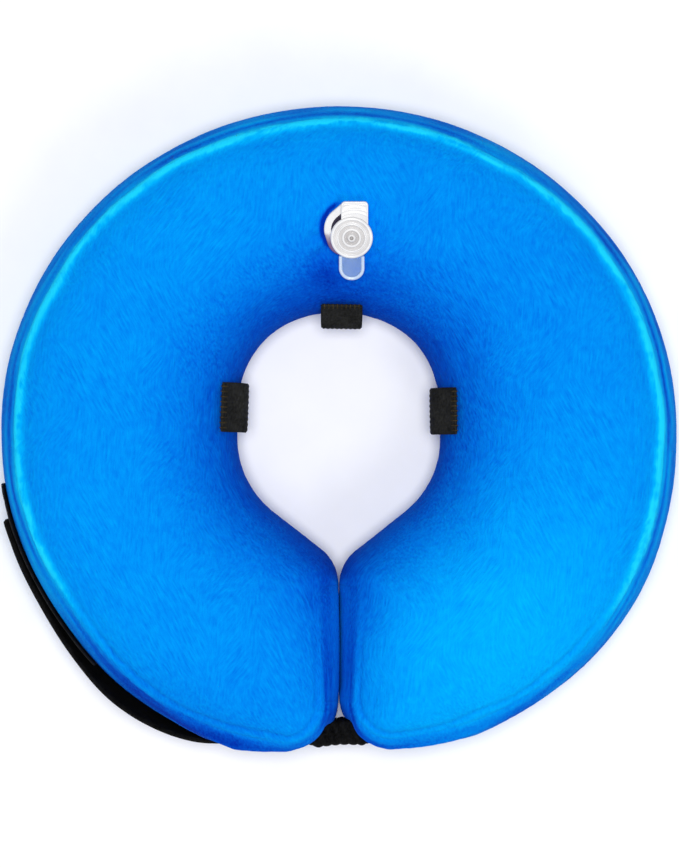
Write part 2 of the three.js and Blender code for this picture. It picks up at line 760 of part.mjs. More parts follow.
// Closing strap: from its free end on the left rim, into the groove under the left limb, in folds
// across the gap, and into the groove under the right limb where it is sewn on.
function closureStrap() {
  const onRim = STRAP_ROUTE.map(({ angle, stand }) => (
    offRim(angle, stand * STRAP_THICKNESS, STRAP_THICKNESS)
  ));
  const line = smoothLine(onRim, ROUTE_STEPS);
  const thickness = line.map(() => STRAP_THICKNESS);
  const sewn = [];
  for (let k = 0; k <= SEWN_STEPS; k++) {
    const angle = THREE.MathUtils.lerp(SEWN_FROM_ANGLE, SEWN_TO_ANGLE, k / SEWN_STEPS);
    sewn.push(offRim(angle, CLEARANCE, STRAP_THICKNESS));
  }
  const from = line.at(-1);
  const to = sewn[0];
  const foldSteps = STRAP_FOLDS * STEPS_PER_FOLD;
  for (let k = 1; k < foldSteps; k++) {
    const share = k / foldSteps;
    const arch = Math.sin(Math.PI * share);
    const wave = Math.sin(2 * Math.PI * STRAP_FOLDS * share);
    const rise = STRAP_FOLD_HEIGHT * arch ** STRAP_FOLD_SWELL * wave;
    const point = from.clone().lerp(to, share);
    point.x -= STRAP_FOLD_LEAN * rise;
    point.y += rise + STRAP_FOLD_BOW * arch;
    line.push(point);
    thickness.push(STRAP_FOLD_THICKNESS);
  }
  line.push(...sewn);
  thickness.push(...sewn.map(() => STRAP_THICKNESS));
  const widths = line.map((_, k) => STRAP_WIDTH - 2 * STRAP_END_ROUND * Math.max(1 - k / 2, 0));
  return ribbon(line, thickness, widths);
}

// Loop-pile pad sewn on the left rim, which the strap's end presses on.
function fastenerPad() {
  const line = [];
  for (let k = 0; k <= PAD_STEPS; k++) {
    const angle = THREE.MathUtils.lerp(PAD_FROM_ANGLE, PAD_TO_ANGLE, k / PAD_STEPS);
    line.push(offRim(angle, CLEARANCE, PAD_THICKNESS));
  }
  return ribbon(line, line.map(() => PAD_THICKNESS), line.map(() => PAD_WIDTH));
}

// Assembly

const collar = new THREE.Group();

function add(name, geometry, finish, parent = collar) {
  const mesh = new THREE.Mesh(geometry, new THREE.MeshStandardMaterial(finish));
  mesh.name = name;
  parent.add(mesh);
}

const coverHole = valveHole(VALVE_STEM_RADIUS + CLEARANCE);
const bladderInset = COVER_WALL + BLADDER_CLEARANCE;
add("front_panel", toGeometry(toSolid(face(1)).subtract(coverHole)), plush);
add("back_panel", face(-1), plush);
add("outer_band", band(END_STEPS, STATIONS - END_STEPS), plush);
add("neck_band", band(STATIONS + END_STEPS, LOOP - END_STEPS), plush);
add("end_panel_left", band(-END_STEPS, END_STEPS), plush);
add("end_panel_right", band(STATIONS - END_STEPS, STATIONS + END_STEPS), plush);
const bladder = skin(bladderInset).subtract(skin(bladderInset + BLADDER_WALL)).subtract(coverHole);
add("air_bladder", toGeometry(bladder), film);
for (const loop of LOOPS) add(loop.name, collarLoop(loop), webbing);
add("closure_strap", closureStrap(), webbing);
add("fastener_pad", fastenerPad(), webbing);

collar.add(valve);
add("valve_base", valveBase(), clearPvc, valve);
add("valve_cap", valveCap(), clearPvc, valve);

// The origin is under the middle of the collar, on the surface that it lies on.
const root = new THREE.Group();
root.add(collar);
root.updateMatrixWorld(true);
const box = new THREE.Box3().setFromObject(root);
collar.position.set(-(box.min.x + box.max.x) / 2, -(box.min.y + box.max.y) / 2, -box.min.z);

export default root;
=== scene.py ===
import math

import bmesh
import bpy
import numpy as np
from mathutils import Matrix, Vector


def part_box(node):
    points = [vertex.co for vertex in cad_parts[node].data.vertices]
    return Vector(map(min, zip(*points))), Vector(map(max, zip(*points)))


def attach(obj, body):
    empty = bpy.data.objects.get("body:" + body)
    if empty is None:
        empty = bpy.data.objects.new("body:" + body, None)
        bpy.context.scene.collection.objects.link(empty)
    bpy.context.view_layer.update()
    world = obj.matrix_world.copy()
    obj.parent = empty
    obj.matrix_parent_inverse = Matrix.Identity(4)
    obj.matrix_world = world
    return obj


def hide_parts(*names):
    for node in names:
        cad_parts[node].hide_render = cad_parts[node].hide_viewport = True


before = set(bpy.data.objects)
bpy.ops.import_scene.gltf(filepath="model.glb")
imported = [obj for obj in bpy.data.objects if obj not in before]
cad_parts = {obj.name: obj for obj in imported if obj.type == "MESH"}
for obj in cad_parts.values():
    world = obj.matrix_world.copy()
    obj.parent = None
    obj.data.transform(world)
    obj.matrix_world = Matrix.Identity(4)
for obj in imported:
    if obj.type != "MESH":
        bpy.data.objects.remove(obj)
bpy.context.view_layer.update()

# Lengths are in millimetres up to the meshes, which are in metres.
MM = 0.001

# Outline of the ring
HALF_WIDTH = 101.6
RIM_RISE = 98.0
RIM_TRIM = 0.6
LEFT_LIMB_REACH = 97.9
RIGHT_LIMB_REACH = 96.7
RIM_CENTRE_Y = -0.6
RIM_EXPONENT_TOP = 2.0
RIM_EXPONENT_BOTTOM = 2.2
NECK_HALF_WIDTH = 30.5
NECK_RISE = 30.7
NECK_CENTRE_Y = 4.0
NECK_EXPONENT = 2.2
NECK_WAIST = 7.2
NECK_LOWER_RADIUS = 28.2
NECK_TAPER_ANGLE = math.radians(38)
SHOULDER_RADIUS = 13.3
CORNER_RADIUS = 16.0
END_X = 0.12
# Press of the strap into the left rim: share of the half width, place in height and reach
STRAP_PRESS = (0.037, -66.0, 32.0)

# Section of the ring
HALF_DEPTH = 30.0
REST_CRUSH = 1.2
RIM_SECTION_EXPONENT = 2.9
NECK_SECTION_EXPONENT = 2.2
CROWN_SKEW = 1.22
END_ROUNDING = 26.0
CORNER_BLEND = 3.0
SLOPE_STEP = 0.06

# Cover: the wall, and how far in from the edge its seams run, which changes down the limbs
COVER_WALL = 2.4
SEAM_INSET = 5.6
SEAM_INSET_EXTRA = -1.5
SEAM_EXTRA_START_Y = -50.0
SEAM_EXTRA_FULL_Y = -90.0
SEAM_GAP = 0.03
PANEL_EDGE = 7.0
BAND_END_GAP = 0.02
COVER_HOLE_RADIUS = 4.9
COVER_HOLE_SIDES = 64
COVER_HOLE_REACH = 15

# Groove for the strap along the foot of the limbs
GROOVE_DEPTH = 5.0
GROOVE_START_X = 42.0
GROOVE_FULL_X = 24.0
GROOVE_FACING_START = 0.35
GROOVE_FACING_FULL = 0.8
# Bulge of the limbs above the groove, by distance from the middle
LIP_PLACES = (0.0, 12.5, 18.0, 27.0, 31.0, 36.0, 43.0, 55.0, 68.0)
LEFT_LIP = (0.6, 0.7, 1.3, 2.5, 3.1, 2.5, 1.5, 0.3, 0.0)
RIGHT_LIP = (1.4, 1.6, 1.7, 2.2, 2.3, 2.4, 1.9, 1.2, 0.3)

# Rows of a side band from its middle to the seam: inset in seam insets, the wall's lean,
# groove and bulge. Rows of a panel's edge: inset in panel edges, and lean.
BAND_INSETS = (0.0, 0.13, 0.3, 0.55, 1.0)
BAND_LEANS = (1.0, 0.97, 0.92, 0.85, 0.7)
BAND_GROOVES = (1.0, 1.0, 0.5, 0.0, 0.0)
BAND_LIPS = (0.0, 0.3, 0.9, 1.0, 0.0)
FACE_INSETS = (0.0, 0.43, 1.0)
FACE_LEANS = (0.7, 0.5, 0.3)

# Relief of a seam, as height, place and width: its ridge, and the crease inside it
RIDGE = (0.8, 0.35, 1.4)
CREASE = (-0.42, 1.6, 0.75)
RIDGE_WANDER = 0.55
RIDGE_WANDER_CELL = 13
# Height of the ridge down the limbs, and of the crease there, as shares
RIDGE_LEAST = 0.35
CREASE_MOST = 1.15
# Heights on the rim between which the ridge grows to its full share
RIDGE_LOWEST_Y = -72.0
RIDGE_FULL_Y = -25.0
# Strength on the rim, on the end faces and on the neck side: of seams, and of gathers
SEAM_STRENGTHS = (1.0, 0.22, 0.04)
GATHER_STRENGTHS = (1.0, 0.2, 0.2)
STRENGTH_SOFTENING = 24

# Gathers: puckers that run away from a seam
GATHER_HEIGHT = 0.42
GATHER_REACH = 2.6
GATHER_START = 0.8
GATHER_PITCH = 3.4
GATHER_WARP = 1.6
GATHER_CELLS = (11, 2.3, 17)
GATHER_LEAN = 0.5
GATHER_LEAN_CELL = 40
GATHER_UPPER_Y = 25
GATHER_LOWERING = 70
BAND_GATHERS = 0.6

# Streaks beside the rim seam: height, tone, cells along and across, and where they end
STREAK_HEIGHT = 0.12
STREAK_TONE = 0.12
STREAK_CELLS = (15, 1.0)
STREAK_END = 1.5
STREAK_FADE = 2.5
# Part of the band beside the seam that carries streaks and lines
SEAMWARD_REACH = 7.2
SEAMWARD_FADE = 0.8
BAND_STEEPNESS = 1.4

# Slow unevenness of the filled cover, and the fine relief of the combed pile
UNDULATION = 0.3
UNDULATION_CELLS = (19, 9)
UNDULATION_FINE = 0.6
PILE_RELIEF = 0.035
PILE_CELLS = (1.1, 4.2)
PILE_WAY = (0.5, 0.87)
FILL_START = 5.0
BAND_UNDULATION = 0.5
BAND_UNDULATION_CELLS = (17, 15)
BAND_PILE_CELLS = (1.2, 4.0)
BAND_FILL_START = 4.0
# Wave that both end faces share: height, length up and down and places it fades over
END_WAVE = 0.5
END_WAVE_LENGTH = 44.0
END_WAVE_FADE = 5

# Press of a loop's sewn end on the cover: back over the edge, down the wall, and its soft border
LOOP_PRESS_BACK = 7
LOOP_PRESS_DOWN = 6
LOOP_PRESS_FADE = 2.5

# Puckers round the valve, as the middle's offset and as height, radius and width
PUCKER_MIDDLE = (-0.6, 1.0)
PUCKERS = (0.3, 10.5, 3.2)
PUCKER_COUNTS = (9, 14)
PUCKER_SINK = (-0.66, 8.5, 2.8)
PUCKER_SIDE = math.radians(200)
VALVE_DENT = -0.45
VALVE_DENT_RADIUS = 9
VALVE_DENT_FADE = 2

# Painted highlight on the ridge of the rim seam and painted shade in the crease inside it, as parts
# of the colour ramp
RIDGE_HIGHLIGHT = (0.56, 0.35, 1.6)
CREASE_SHADE = 0.05
CREASE_SHADE_MOST = 1.3
# Painted shade on the strip of the rim below the seam's painted highlight: tone, place across and
# where it starts
STRIP_SHADE = -0.23
STRIP_PLACE = 0.6
STRIP_FADE = 1.8
STRIP_START_Y = -45.0
STRIP_FULL_Y = -80.0
# Lines of painted light and shade along the band beside the rim seam: distance from the seam, tone
# there, and least share
LINE_PLACES = (-7.6, -7.1, -6.3, -5.4, -4.7, -4.0, -3.2, -2.4, -1.6)
LINE_LIGHT_AND_SHADE = (-0.06, -0.1, -0.12, -0.04, 0.06, -0.04, -0.16, -0.08, 0.0)
LINE_LEAST = 0.4
LINE_CELL = 21
# Painted glints along the ridge: even part, part that follows the gathers, uneven part and its cells
RIDGE_GLINTS = (0.85, 0.2, 0.35)
GLINT_CELLS = (6, 0.8)
GLINT_STRETCH = 0.9
# Painted shade round the neck hole and at the limbs' ends, and painted light right at the ends: tone,
# reach and exponent of the fall
NECK_SHADE = (-0.28, 17.0, 1.3)
END_SHADE = (-0.13, 9.0, 1.6)
END_PAINTED_LIGHT = (0.38, 2.6, 1.5)
# Patches of painted light and shade: middle, reach and tone
LIGHT_AND_SHADE_PATCHES = (
    (46, -64, 44, 0.19),
    (-52, -45, 36, 0.02),
    (62, 46, 40, -0.03),
    (-40, 62, 34, 0.03),
    (-34, -88, 26, -0.05),
    (0, 44, 16, -0.08),
    (-4, 46, 5, -0.12),
)
# Shade left of the valve's flange: tone, radius and width, and the middle's offset
VALVE_SHADE = (-0.45, 7.7, 0.8)
VALVE_SHADE_MIDDLE = (-1.1, 2.2)
SEAM_SEED = 31

# Mesh counts: steps along the four stretches of a half ring, rows in a panel's edge and crown,
# rows of a side band from its middle to a seam, and rows of the inner faces
STRETCH_STEPS = (170, 160, 44, 22)
EDGE_ROWS = 20
EDGE_CROWDING = 1.5
CROWN_ROWS = 58
BAND_ROWS = 34
BAND_CROWDING = 1.55
INNER_ROWS = 9
INNER_EDGE_ROWS = 3
INNER_BAND_ROWS = 4
CURVE_STEPS = 720
ARC_STEPS = 120
# Places of the outline on each side that a normal is evened out over
NORMAL_REACH = 11
# Every second place of an edge takes part in distances, which are found in parts
DISTANCE_STRIDE = 2
POINTS_AT_A_TIME = 20000
SHARP_ANGLE = math.radians(55)
MERGE_DISTANCE = 1e-6
NOISE_TABLE = 256

# Valve, with heights above the cover's surface
VALVE_X = 3.8
VALVE_Y = 57.0
VALVE_SIDES = 96
VALVE_SLOPE_STEP = 2.0
CAP_RADIUS = 6.3
CAP_BOTTOM = 2.2
CAP_THICKNESS = 1.3
CAP_ROUNDING = 0.6
CAP_CHAMFER = 0.3
STEM_RADIUS = 4.6
BORE_RADIUS = 3.1
STEM_DEPTH = 7.5
PLUG_DEPTH = 1.3
PLUG_RADIUS = 2.8
WELD_RADIUS = 6.6
WELD_TOP = -5.6
WELD_BOTTOM = -6.4
FLANGE_BOTTOM = 0.3
FLANGE_TOP = 1.9
FLANGE_ROUNDING = 0.45
# Discs whose hull is the flange, as middle and radius, and the squeeze of its right side
FLANGE_DISCS = (
    ((-1.1, 2.2), 7.1),
    ((-1.5, 7.4), 2.9),
    ((-2.2, -0.6), 5.2),
    ((0.0, 0.0), 5.75),
)
FLANGE_RIGHT = 3.4
FLANGE_SQUEEZE = 0.4
# Width of the flange's raised border, the recess inside it, and the painted shade of its lower part
CRESCENT_WIDTH = 2.1
RECESS_DEPTH = 1.3
FLANGE_LOW_SHADE = 0.5
FLANGE_LOW_START = math.radians(168)
# Grooves of the cap's face as middle, half width and depth, then its boss and the hole in that,
# as radius, soft border and height
CAP_GROOVES = ((4.85, 0.42, -0.4), (3.35, 0.4, -0.45), (1.75, 0.35, -0.4))
CAP_BOSS = (1.25, 0.3, 0.35)
CAP_HOLE = (0.55, 0.2, -0.4)
# Painted shade on the cap's face by radius: greyer grooves and boss, pale rings between them
CAP_SHADE_RADII = (0.0, 0.5, 0.7, 1.2, 1.5, 2.0, 2.3, 2.8, 3.1, 3.6, 3.9, 4.5, 4.7, 5.1, 5.4)
CAP_SHADES = (0.6, 0.6, 0.05, 0.05, 0.38, 0.38, 0.0, 0.0, 0.26, 0.26, 0.0, 0.0, 0.2, 0.2, 0.0)
# Tabs of the cap, from its middle outwards: width, reach, radius of the end, thickness, width
# and height of the raised border, and offset to the right; the hinge tab also dips at its end
TAB_BOTTOM = 2.35
HINGE_TAB = (8.0, 10.8, 1.2, 0.8, 0.7, 0.15, 0.9)
HINGE_TAB_DIP = 0.6
HINGE_RIBS = (7.6, 8.7, 9.8)
HINGE_RIB_HEIGHT = 0.16
HINGE_RIB_WIDTH = 0.22
PULL_TAB = (7.3, -12.8, 3.4, 0.45, 0.6, 0.1, 0.0)
TAB_STEPS = 48
TAB_EDGE = 0.25
# Bead round the pull tab: half width, reach and end radius of its line, and its own half sizes
BEAD_LINE = (3.3, 12.45, 3.1)
BEAD_RISE = 0.55
BEAD_HALF_WIDTH = 0.5
BEAD_HALF_HEIGHT = 0.36

# Collar loops: name, angle on the neck edge, width, stand into the hole, reach over the edge
COLLAR_LOOPS = (
    ("collar_loop_top", 88.5, 12.4, 4.5, 3.0),
    ("collar_loop_left", 176, 14.8, 2.8, 5.4),
    ("collar_loop_right", 2, 14.0, 2.8, 5.4),
)
LOOP_THICKNESS = 1.2
LOOP_POINTS = 150
LOOP_LIFT = 1.15
LOOP_BEND = 0.55
LOOP_DROP = 5.2
LOOP_RIBS = (9, 0.3)
LOOP_WEFT = 0.08
LOOP_WEFT_PITCH = 1.1
LOOP_CRUSH = (0.35, 1.4, 0.7)
LOOP_ROUNDING = 0.35
CLEARANCE = 0.3

# Bars of thread over a loop's sewn ends: count, radius, points inwards, share outwards and
# across, and rise
STITCHES_PER_END = 9
STITCH_RADIUS = 0.27
STITCH_INWARDS = 11
STITCH_OUTWARDS = 0.35
STITCH_SPREAD = 0.94
STITCH_RISE = 0.42

# Strap: angles on the rim, with the stand there in thicknesses, then its sewn end
STRAP_WIDTH = 19.0
STRAP_THICKNESS = 1.8
STRAP_ROUTE = (
    (195, 0.8), (203, 0.82), (211, 1.0), (219, 1.45), (227, 2.0), (233, 2.05), (239, 1.65),
    (244.5, 0.9), (249, 0.45), (254, 0.38), (259, 0.3), (263.5, 0.3),
)
SEWN_ANGLES = (277.2, 279.4, 281.5, 283.7, 285.8, 288)
STRAP_COUNTS = (220, 60, 50)
STRAP_LEAN_STAND = 0.35
STRAP_RIBS = (12, 0.16)
STRAP_ROUNDING = 0.9
STRAP_CORNER = 3
# Pleats of its slack: half height, distance from one to the next, slant, depth, bow of the
# whole block, and the share of its length over which it rises
PLEAT_HALF_HEIGHT = 3.95
PLEAT_PITCH = 2.6
PLEAT_LEAN = 0.45
PLEAT_DEPTH = 0.95
PLEAT_BOW = 1.5
PLEAT_RISE_SHARE = 0.26
PLEAT_START = 0.6
PLEAT_EXPONENTS = (0.25, 0.4)
PLEAT_CURL = 0.5
PLEAT_UNEVEN = 0.12
PLEAT_SEED = 55
PLEAT_COUNTS = (240, 120)

# Loop pad under the strap: angles on the rim, and the relief of its pile
PAD_THICKNESS = 0.8
PAD_WIDTH = 22.0
PAD_ANGLES = (189, 224)
PAD_POINTS = 240
PAD_RIBS = (14, 0.25)
PAD_SPACING = 0.3
PAD_ROUNDING = 0.5
PAD_CORNER = 1.5
PAD_PILE = 0.07
PAD_SEED = 77

# Scene: size of a pixel, the picture's height in pixels, its middle, and the camera's distance
PIXEL = 0.30193
FRAME_HEIGHT = 868
FRAME_CENTRE = (0.15, -1.81)
CAMERA_DISTANCE = 1500.0
SENSOR = 36.0
FAR_LIMIT = 20
# In metres and watts
FLOOR_HALF = 4.0
LIGHTS = (
    ("key", (0.0, 0.0, 2.2), 0.5, 34),
    ("fill", (0.5, -0.8, 1.6), 0.6, 5),
)
WORLD_STRENGTH = 0.32

# Place of the outline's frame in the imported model's frame
band_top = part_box("outer_band")[1]
ORIGIN = np.array([
    band_top.x / MM - HALF_WIDTH,
    band_top.y / MM - RIM_CENTRE_Y - RIM_RISE,
    HALF_DEPTH - REST_CRUSH,
])


# Plain formulas

def smoothstep(value):
    value = np.clip(value, 0, 1)
    return value * value * (3 - 2 * value)


def swell(gap, height, place, width):
    """A rounded hump at a place."""
    return height * np.exp(-((gap - place) / width) ** 2)


def fall(distance_away, height, reach, exponent):
    return height * np.exp(-(np.maximum(distance_away, 0) / reach) ** exponent)


def at_least(least, share):
    """A share that starts at the least one."""
    return least + (1 - least) * share


def rounding(gap, radius, least=0.0):
    """Height, as a share, over a rounded edge a gap in from its end."""
    return np.sqrt(np.clip(1 - (1 - gap / radius).clip(0) ** 2, least, 1))


def circle_angles(count):
    return np.linspace(0, 2 * np.pi, count, endpoint=False)


# Plane curves

def lengths_along(line):
    return np.concatenate([[0], np.cumsum(np.hypot(*np.diff(line, axis=0).T))])


def resample(points, count):
    """Points spaced evenly along a line of points, count steps from its start to its end."""
    lengths = lengths_along(points)
    at = np.linspace(0, lengths[-1], count + 1)
    return np.column_stack([np.interp(at, lengths, points[:, k]) for k in range(points.shape[1])])


def superellipse(half_x, half_y, exponent, centre_y, start, end):
    angle = np.linspace(start, end, CURVE_STEPS + 1)
    c, s = np.cos(angle), np.sin(angle)
    x = half_x * np.sign(c) * np.abs(c) ** (2 / exponent)
    y = half_y * np.sign(s) * np.abs(s) ** (2 / exponent)
    return np.column_stack([x, centre_y + y])


def arc(centre, radius, start, end):
    angle = np.linspace(start, end, ARC_STEPS + 1)
    return np.array(centre) + radius * np.column_stack([np.cos(angle), np.sin(angle)])


def half_ring(reach):
    """Stretches of the rim of the right half, each with the stretch of the neck side it faces."""
    quarter = math.pi / 2
    corner_x = END_X + CORNER_RADIUS
    corner_share = (corner_x / HALF_WIDTH) ** RIM_EXPONENT_BOTTOM
    corner_bottom = RIM_CENTRE_Y - reach * (1 - corner_share) ** (1 / RIM_EXPONENT_BOTTOM)
    corner_angle = math.acos((corner_x / HALF_WIDTH) ** (RIM_EXPONENT_BOTTOM / 2))
    corner_y = corner_bottom + CORNER_RADIUS
    waist_y = NECK_CENTRE_Y - NECK_WAIST
    lower_x = NECK_HALF_WIDTH - NECK_LOWER_RADIUS
    sweep = quarter - NECK_TAPER_ANGLE
    taper = np.array([
        lower_x + NECK_LOWER_RADIUS * math.cos(sweep),
        waist_y - NECK_LOWER_RADIUS * math.sin(sweep),
    ])
    shoulder_x = END_X + SHOULDER_RADIUS
    slope = np.array([math.cos(NECK_TAPER_ANGLE), math.sin(NECK_TAPER_ANGLE)])
    run = (taper[0] + SHOULDER_RADIUS * slope[1] - shoulder_x) / slope[0]
    shoulder_y = taper[1] - SHOULDER_RADIUS * slope[0] - run * slope[1]
    end_middle = (shoulder_y + corner_y) / 2
    rise = RIM_RISE - RIM_TRIM
    rim_top = superellipse(HALF_WIDTH, rise, RIM_EXPONENT_TOP, RIM_CENTRE_Y, quarter, 0)
    rim_low = superellipse(
        HALF_WIDTH, reach, RIM_EXPONENT_BOTTOM, RIM_CENTRE_Y, 0, -corner_angle,
    )
    neck_top = superellipse(NECK_HALF_WIDTH, NECK_RISE, NECK_EXPONENT, NECK_CENTRE_Y, quarter, 0)
    neck_low = np.vstack([
        [[NECK_HALF_WIDTH, NECK_CENTRE_Y]],
        arc((lower_x, waist_y), NECK_LOWER_RADIUS, 0, -sweep),
        [taper - run * slope],
    ])
    corner = arc((corner_x, corner_y), CORNER_RADIUS, -quarter, -2 * quarter)
    shoulder = arc(
        (shoulder_x, shoulder_y), SHOULDER_RADIUS, quarter + NECK_TAPER_ANGLE, 2 * quarter,
    )
    rim_end = np.array([[END_X, corner_y], [END_X, end_middle]])
    neck_end = np.array([[END_X, shoulder_y], [END_X, end_middle]])
    return [(rim_top, neck_top), (rim_low, neck_low), (corner, shoulder), (rim_end, neck_end)]


def half_edge(reach, edge):
    parts = [
        resample(stretch[edge], steps)[:-1]
        for stretch, steps in zip(half_ring(reach), STRETCH_STEPS)
    ]
    return np.vstack([*parts, half_ring(reach)[-1][edge][-1:]])


def whole_edge(edge):
    """The rim (0) or the neck side (1) from the left end face over the top to the right one."""
    left = half_edge(LEFT_LIMB_REACH, edge) * [-1, 1]
    right = half_edge(RIGHT_LIMB_REACH, edge)
    if edge == 0:
        left[:, 0] -= swell(left[:, 1], *STRAP_PRESS) * (left[:, 0] + END_X)
    return np.vstack([left[::-1], right[1:]])


rim = whole_edge(0)
neck = whole_edge(1)
STATIONS = len(rim) - 1
END_STEPS = STRETCH_STEPS[-1]
outline = np.vstack([rim, neck[1:-1][::-1]])
LOOP = len(outline)
along = np.roll(outline, -1, axis=0) - np.roll(outline, 1, axis=0)
along /= np.linalg.norm(along, axis=1)[:, None]
inward = np.column_stack([along[:, 1], -along[:, 0]])
inward = sum(np.roll(inward, shift, axis=0) for shift in range(-NORMAL_REACH, NORMAL_REACH + 1))
inward /= np.linalg.norm(inward, axis=1)[:, None]
arc_length = lengths_along(outline)

rim_line = rim[END_STEPS:-END_STEPS][::DISTANCE_STRIDE]
neck_line = neck[END_STEPS:-END_STEPS][::DISTANCE_STRIDE]
end_lines = [
    np.array([rim[END_STEPS], neck[END_STEPS]]),
    np.array([rim[-1 - END_STEPS], neck[-1 - END_STEPS]]),
]


def distance(points, line):
    """Distance in the plane from each point to a line of points."""
    start, step = line[:-1], np.diff(line, axis=0)
    squares = (line ** 2).sum(1)
    found = np.empty(len(points))
    for first in range(0, len(points), POINTS_AT_A_TIME):
        part = points[first:first + POINTS_AT_A_TIME]
        nearest = (squares - 2 * part @ line.T).argmin(1)
        gaps = []
        for shift in (-1, 0):
            k = np.clip(nearest + shift, 0, len(step) - 1)
            offset = part - start[k]
            share = np.clip((offset * step[k]).sum(1) / (step[k] ** 2).sum(1), 0, 1)
            gaps.append(np.linalg.norm(offset - share[:, None] * step[k], axis=1))
        found[first:first + POINTS_AT_A_TIME] = np.minimum(*gaps)
    return found


def edge_distances(points):
    """Distances to the neck side, to the rim and to the nearer end face."""
    to_end = np.minimum(*[distance(points, line) for line in end_lines])
    return distance(points, neck_line), distance(points, rim_line), to_end


def half_height(points, inset=0.0):
    """Half height of the inflated ring at points of the plane, for a surface inset inside it."""
    to_neck, to_rim, to_end = [np.maximum(gap - inset, 0) for gap in edge_distances(points)]
    from_neck = to_neck / np.maximum(to_neck + to_rim, 1e-9)
    skewed = from_neck ** CROWN_SKEW
    across = np.maximum(4 * skewed * (1 - skewed), 1e-9)
    lengthwise = np.maximum(1 - (1 - np.minimum(to_end / END_ROUNDING, 1)) ** 2, 1e-9)
    fill = (across ** -CORNER_BLEND + lengthwise ** -CORNER_BLEND - 1) ** (-1 / CORNER_BLEND)
    exponent = NECK_SECTION_EXPONENT + (RIM_SECTION_EXPONENT - NECK_SECTION_EXPONENT) * from_neck
    shape = 1 - (1 - np.minimum(fill, 1)) ** (exponent / 2)
    return (HALF_DEPTH - inset) * shape ** (1 / exponent)


def surface_normals(points, side):
    """Unit normals of the front (1) or back (-1) surface over points of the plane."""
    slopes = [
        (half_height(points - way) - half_height(points + way)) / (2 * SLOPE_STEP)
        for way in (np.array([SLOPE_STEP, 0]), np.array([0, SLOPE_STEP]))
    ]
    normal = np.column_stack([*slopes, np.ones(len(points))])
    normal /= np.linalg.norm(normal, axis=1)[:, None]
    return normal * [1, 1, side]


def on_surface(points, inset, side):
    """Points of the plane lifted onto the front (1) or the back (-1), which is flat at rest."""
    height = half_height(points, inset)
    if side < 0:
        height = -np.minimum(height, HALF_DEPTH - REST_CRUSH - inset)
    return np.column_stack([points, height])


def rim_share(y):
    """Share of the rim seam's bright ridge, which fades down the limbs."""
    return smoothstep((y - RIDGE_LOWEST_Y) / (RIDGE_FULL_Y - RIDGE_LOWEST_Y))


def round_outline(on_rim, on_ends, on_neck):
    """A value at each place of the outline, with soft changes between its stretches."""
    place = np.arange(LOOP)
    at_start = (place < END_STEPS) | (place > LOOP - END_STEPS)
    values = np.where(place < STATIONS, on_rim, on_neck).astype(float)
    values[at_start | (np.abs(place - STATIONS) < END_STEPS)] = on_ends
    count = 2 * STRENGTH_SOFTENING + 1
    wrapped = [values[-STRENGTH_SOFTENING:], values, values[:STRENGTH_SOFTENING]]
    return np.convolve(np.concatenate(wrapped), np.ones(count) / count, mode="valid")


seam_strength = round_outline(*SEAM_STRENGTHS)
gather_share = round_outline(*GATHER_STRENGTHS)
# Length along the outline from the left end face, negative back along the left of the neck hole
signed_length = np.where(
    np.arange(LOOP) > 1.5 * STATIONS, arc_length - arc_length[-1], arc_length,
)


def seam_inset(y):
    down = (SEAM_EXTRA_START_Y - y) / (SEAM_EXTRA_START_Y - SEAM_EXTRA_FULL_Y)
    return SEAM_INSET + SEAM_INSET_EXTRA * np.clip(down, 0, 1)


def facing_down(points, normals):
    """Share of the groove and of the bulge above it that the way an edge faces leaves."""
    facing = normals[:, 1] - GROOVE_FACING_START
    downwards = smoothstep(facing / (GROOVE_FACING_FULL - GROOVE_FACING_START))
    return np.where(points[:, 1] < RIM_CENTRE_Y - LEFT_LIMB_REACH / 2, downwards, 0)


def groove_share(points, normals):
    """Share of the strap's groove along the bottom of the limbs."""
    sideways = (GROOVE_START_X - np.abs(points[:, 0])) / (GROOVE_START_X - GROOVE_FULL_X)
    return np.minimum(smoothstep(sideways), facing_down(points, normals))


def lip_reach(points, normals):
    """Reach of the limbs' bulge above the groove."""
    away = np.abs(points[:, 0])
    left, right = [np.interp(away, LIP_PLACES, reaches) for reaches in (LEFT_LIP, RIGHT_LIP)]
    return np.where(points[:, 0] < 0, left, right) * facing_down(points, normals)


def edge_at(line, centre_y, degrees):
    """Point and outward normal of an edge of the ring, at an angle."""
    direction = np.array([math.cos(math.radians(degrees)), math.sin(math.radians(degrees))])
    offset = line - [0, centre_y]
    side = offset[:, 0] * direction[1] - offset[:, 1] * direction[0]
    crossed = (side[:-1] * side[1:] <= 0) & (offset[:-1] @ direction > 0)
    k = int(np.flatnonzero(crossed)[0])
    share = side[k] / (side[k] - side[k + 1])
    step = line[k + 1] - line[k]
    step = step / np.linalg.norm(step)
    return line[k] * (1 - share) + line[k + 1] * share, np.array([-step[1], step[0]])


def loop_frame(angle):
    """Place on the neck edge and the directions into the hole and along the edge."""
    point, outward = edge_at(neck_line, NECK_CENTRE_Y, angle)
    into = -outward
    return point, into, np.array([into[1], -into[0]])


# Noise, the same in every run

def lattice_noise(x, y, cell_x, cell_y, seed):
    """Smooth noise from -1 to 1 with cells of the given size."""
    table = np.random.RandomState(seed).uniform(-1, 1, (NOISE_TABLE, NOISE_TABLE))
    u, v = x / cell_x, y / cell_y
    i, j = np.floor(u).astype(int), np.floor(v).astype(int)
    fu, fv = smoothstep(u - i), smoothstep(v - j)

    def corner(a, b):
        return table[(i + a) % NOISE_TABLE, (j + b) % NOISE_TABLE]

    low = corner(0, 0) * (1 - fu) + corner(1, 0) * fu
    high = corner(0, 1) * (1 - fu) + corner(1, 1) * fu
    return low * (1 - fv) + high * fv


def line_noise(s, cell, seed, row=0):
    """Smooth noise along a line."""
    return lattice_noise(s, s * 0 + row, cell, 1, seed)


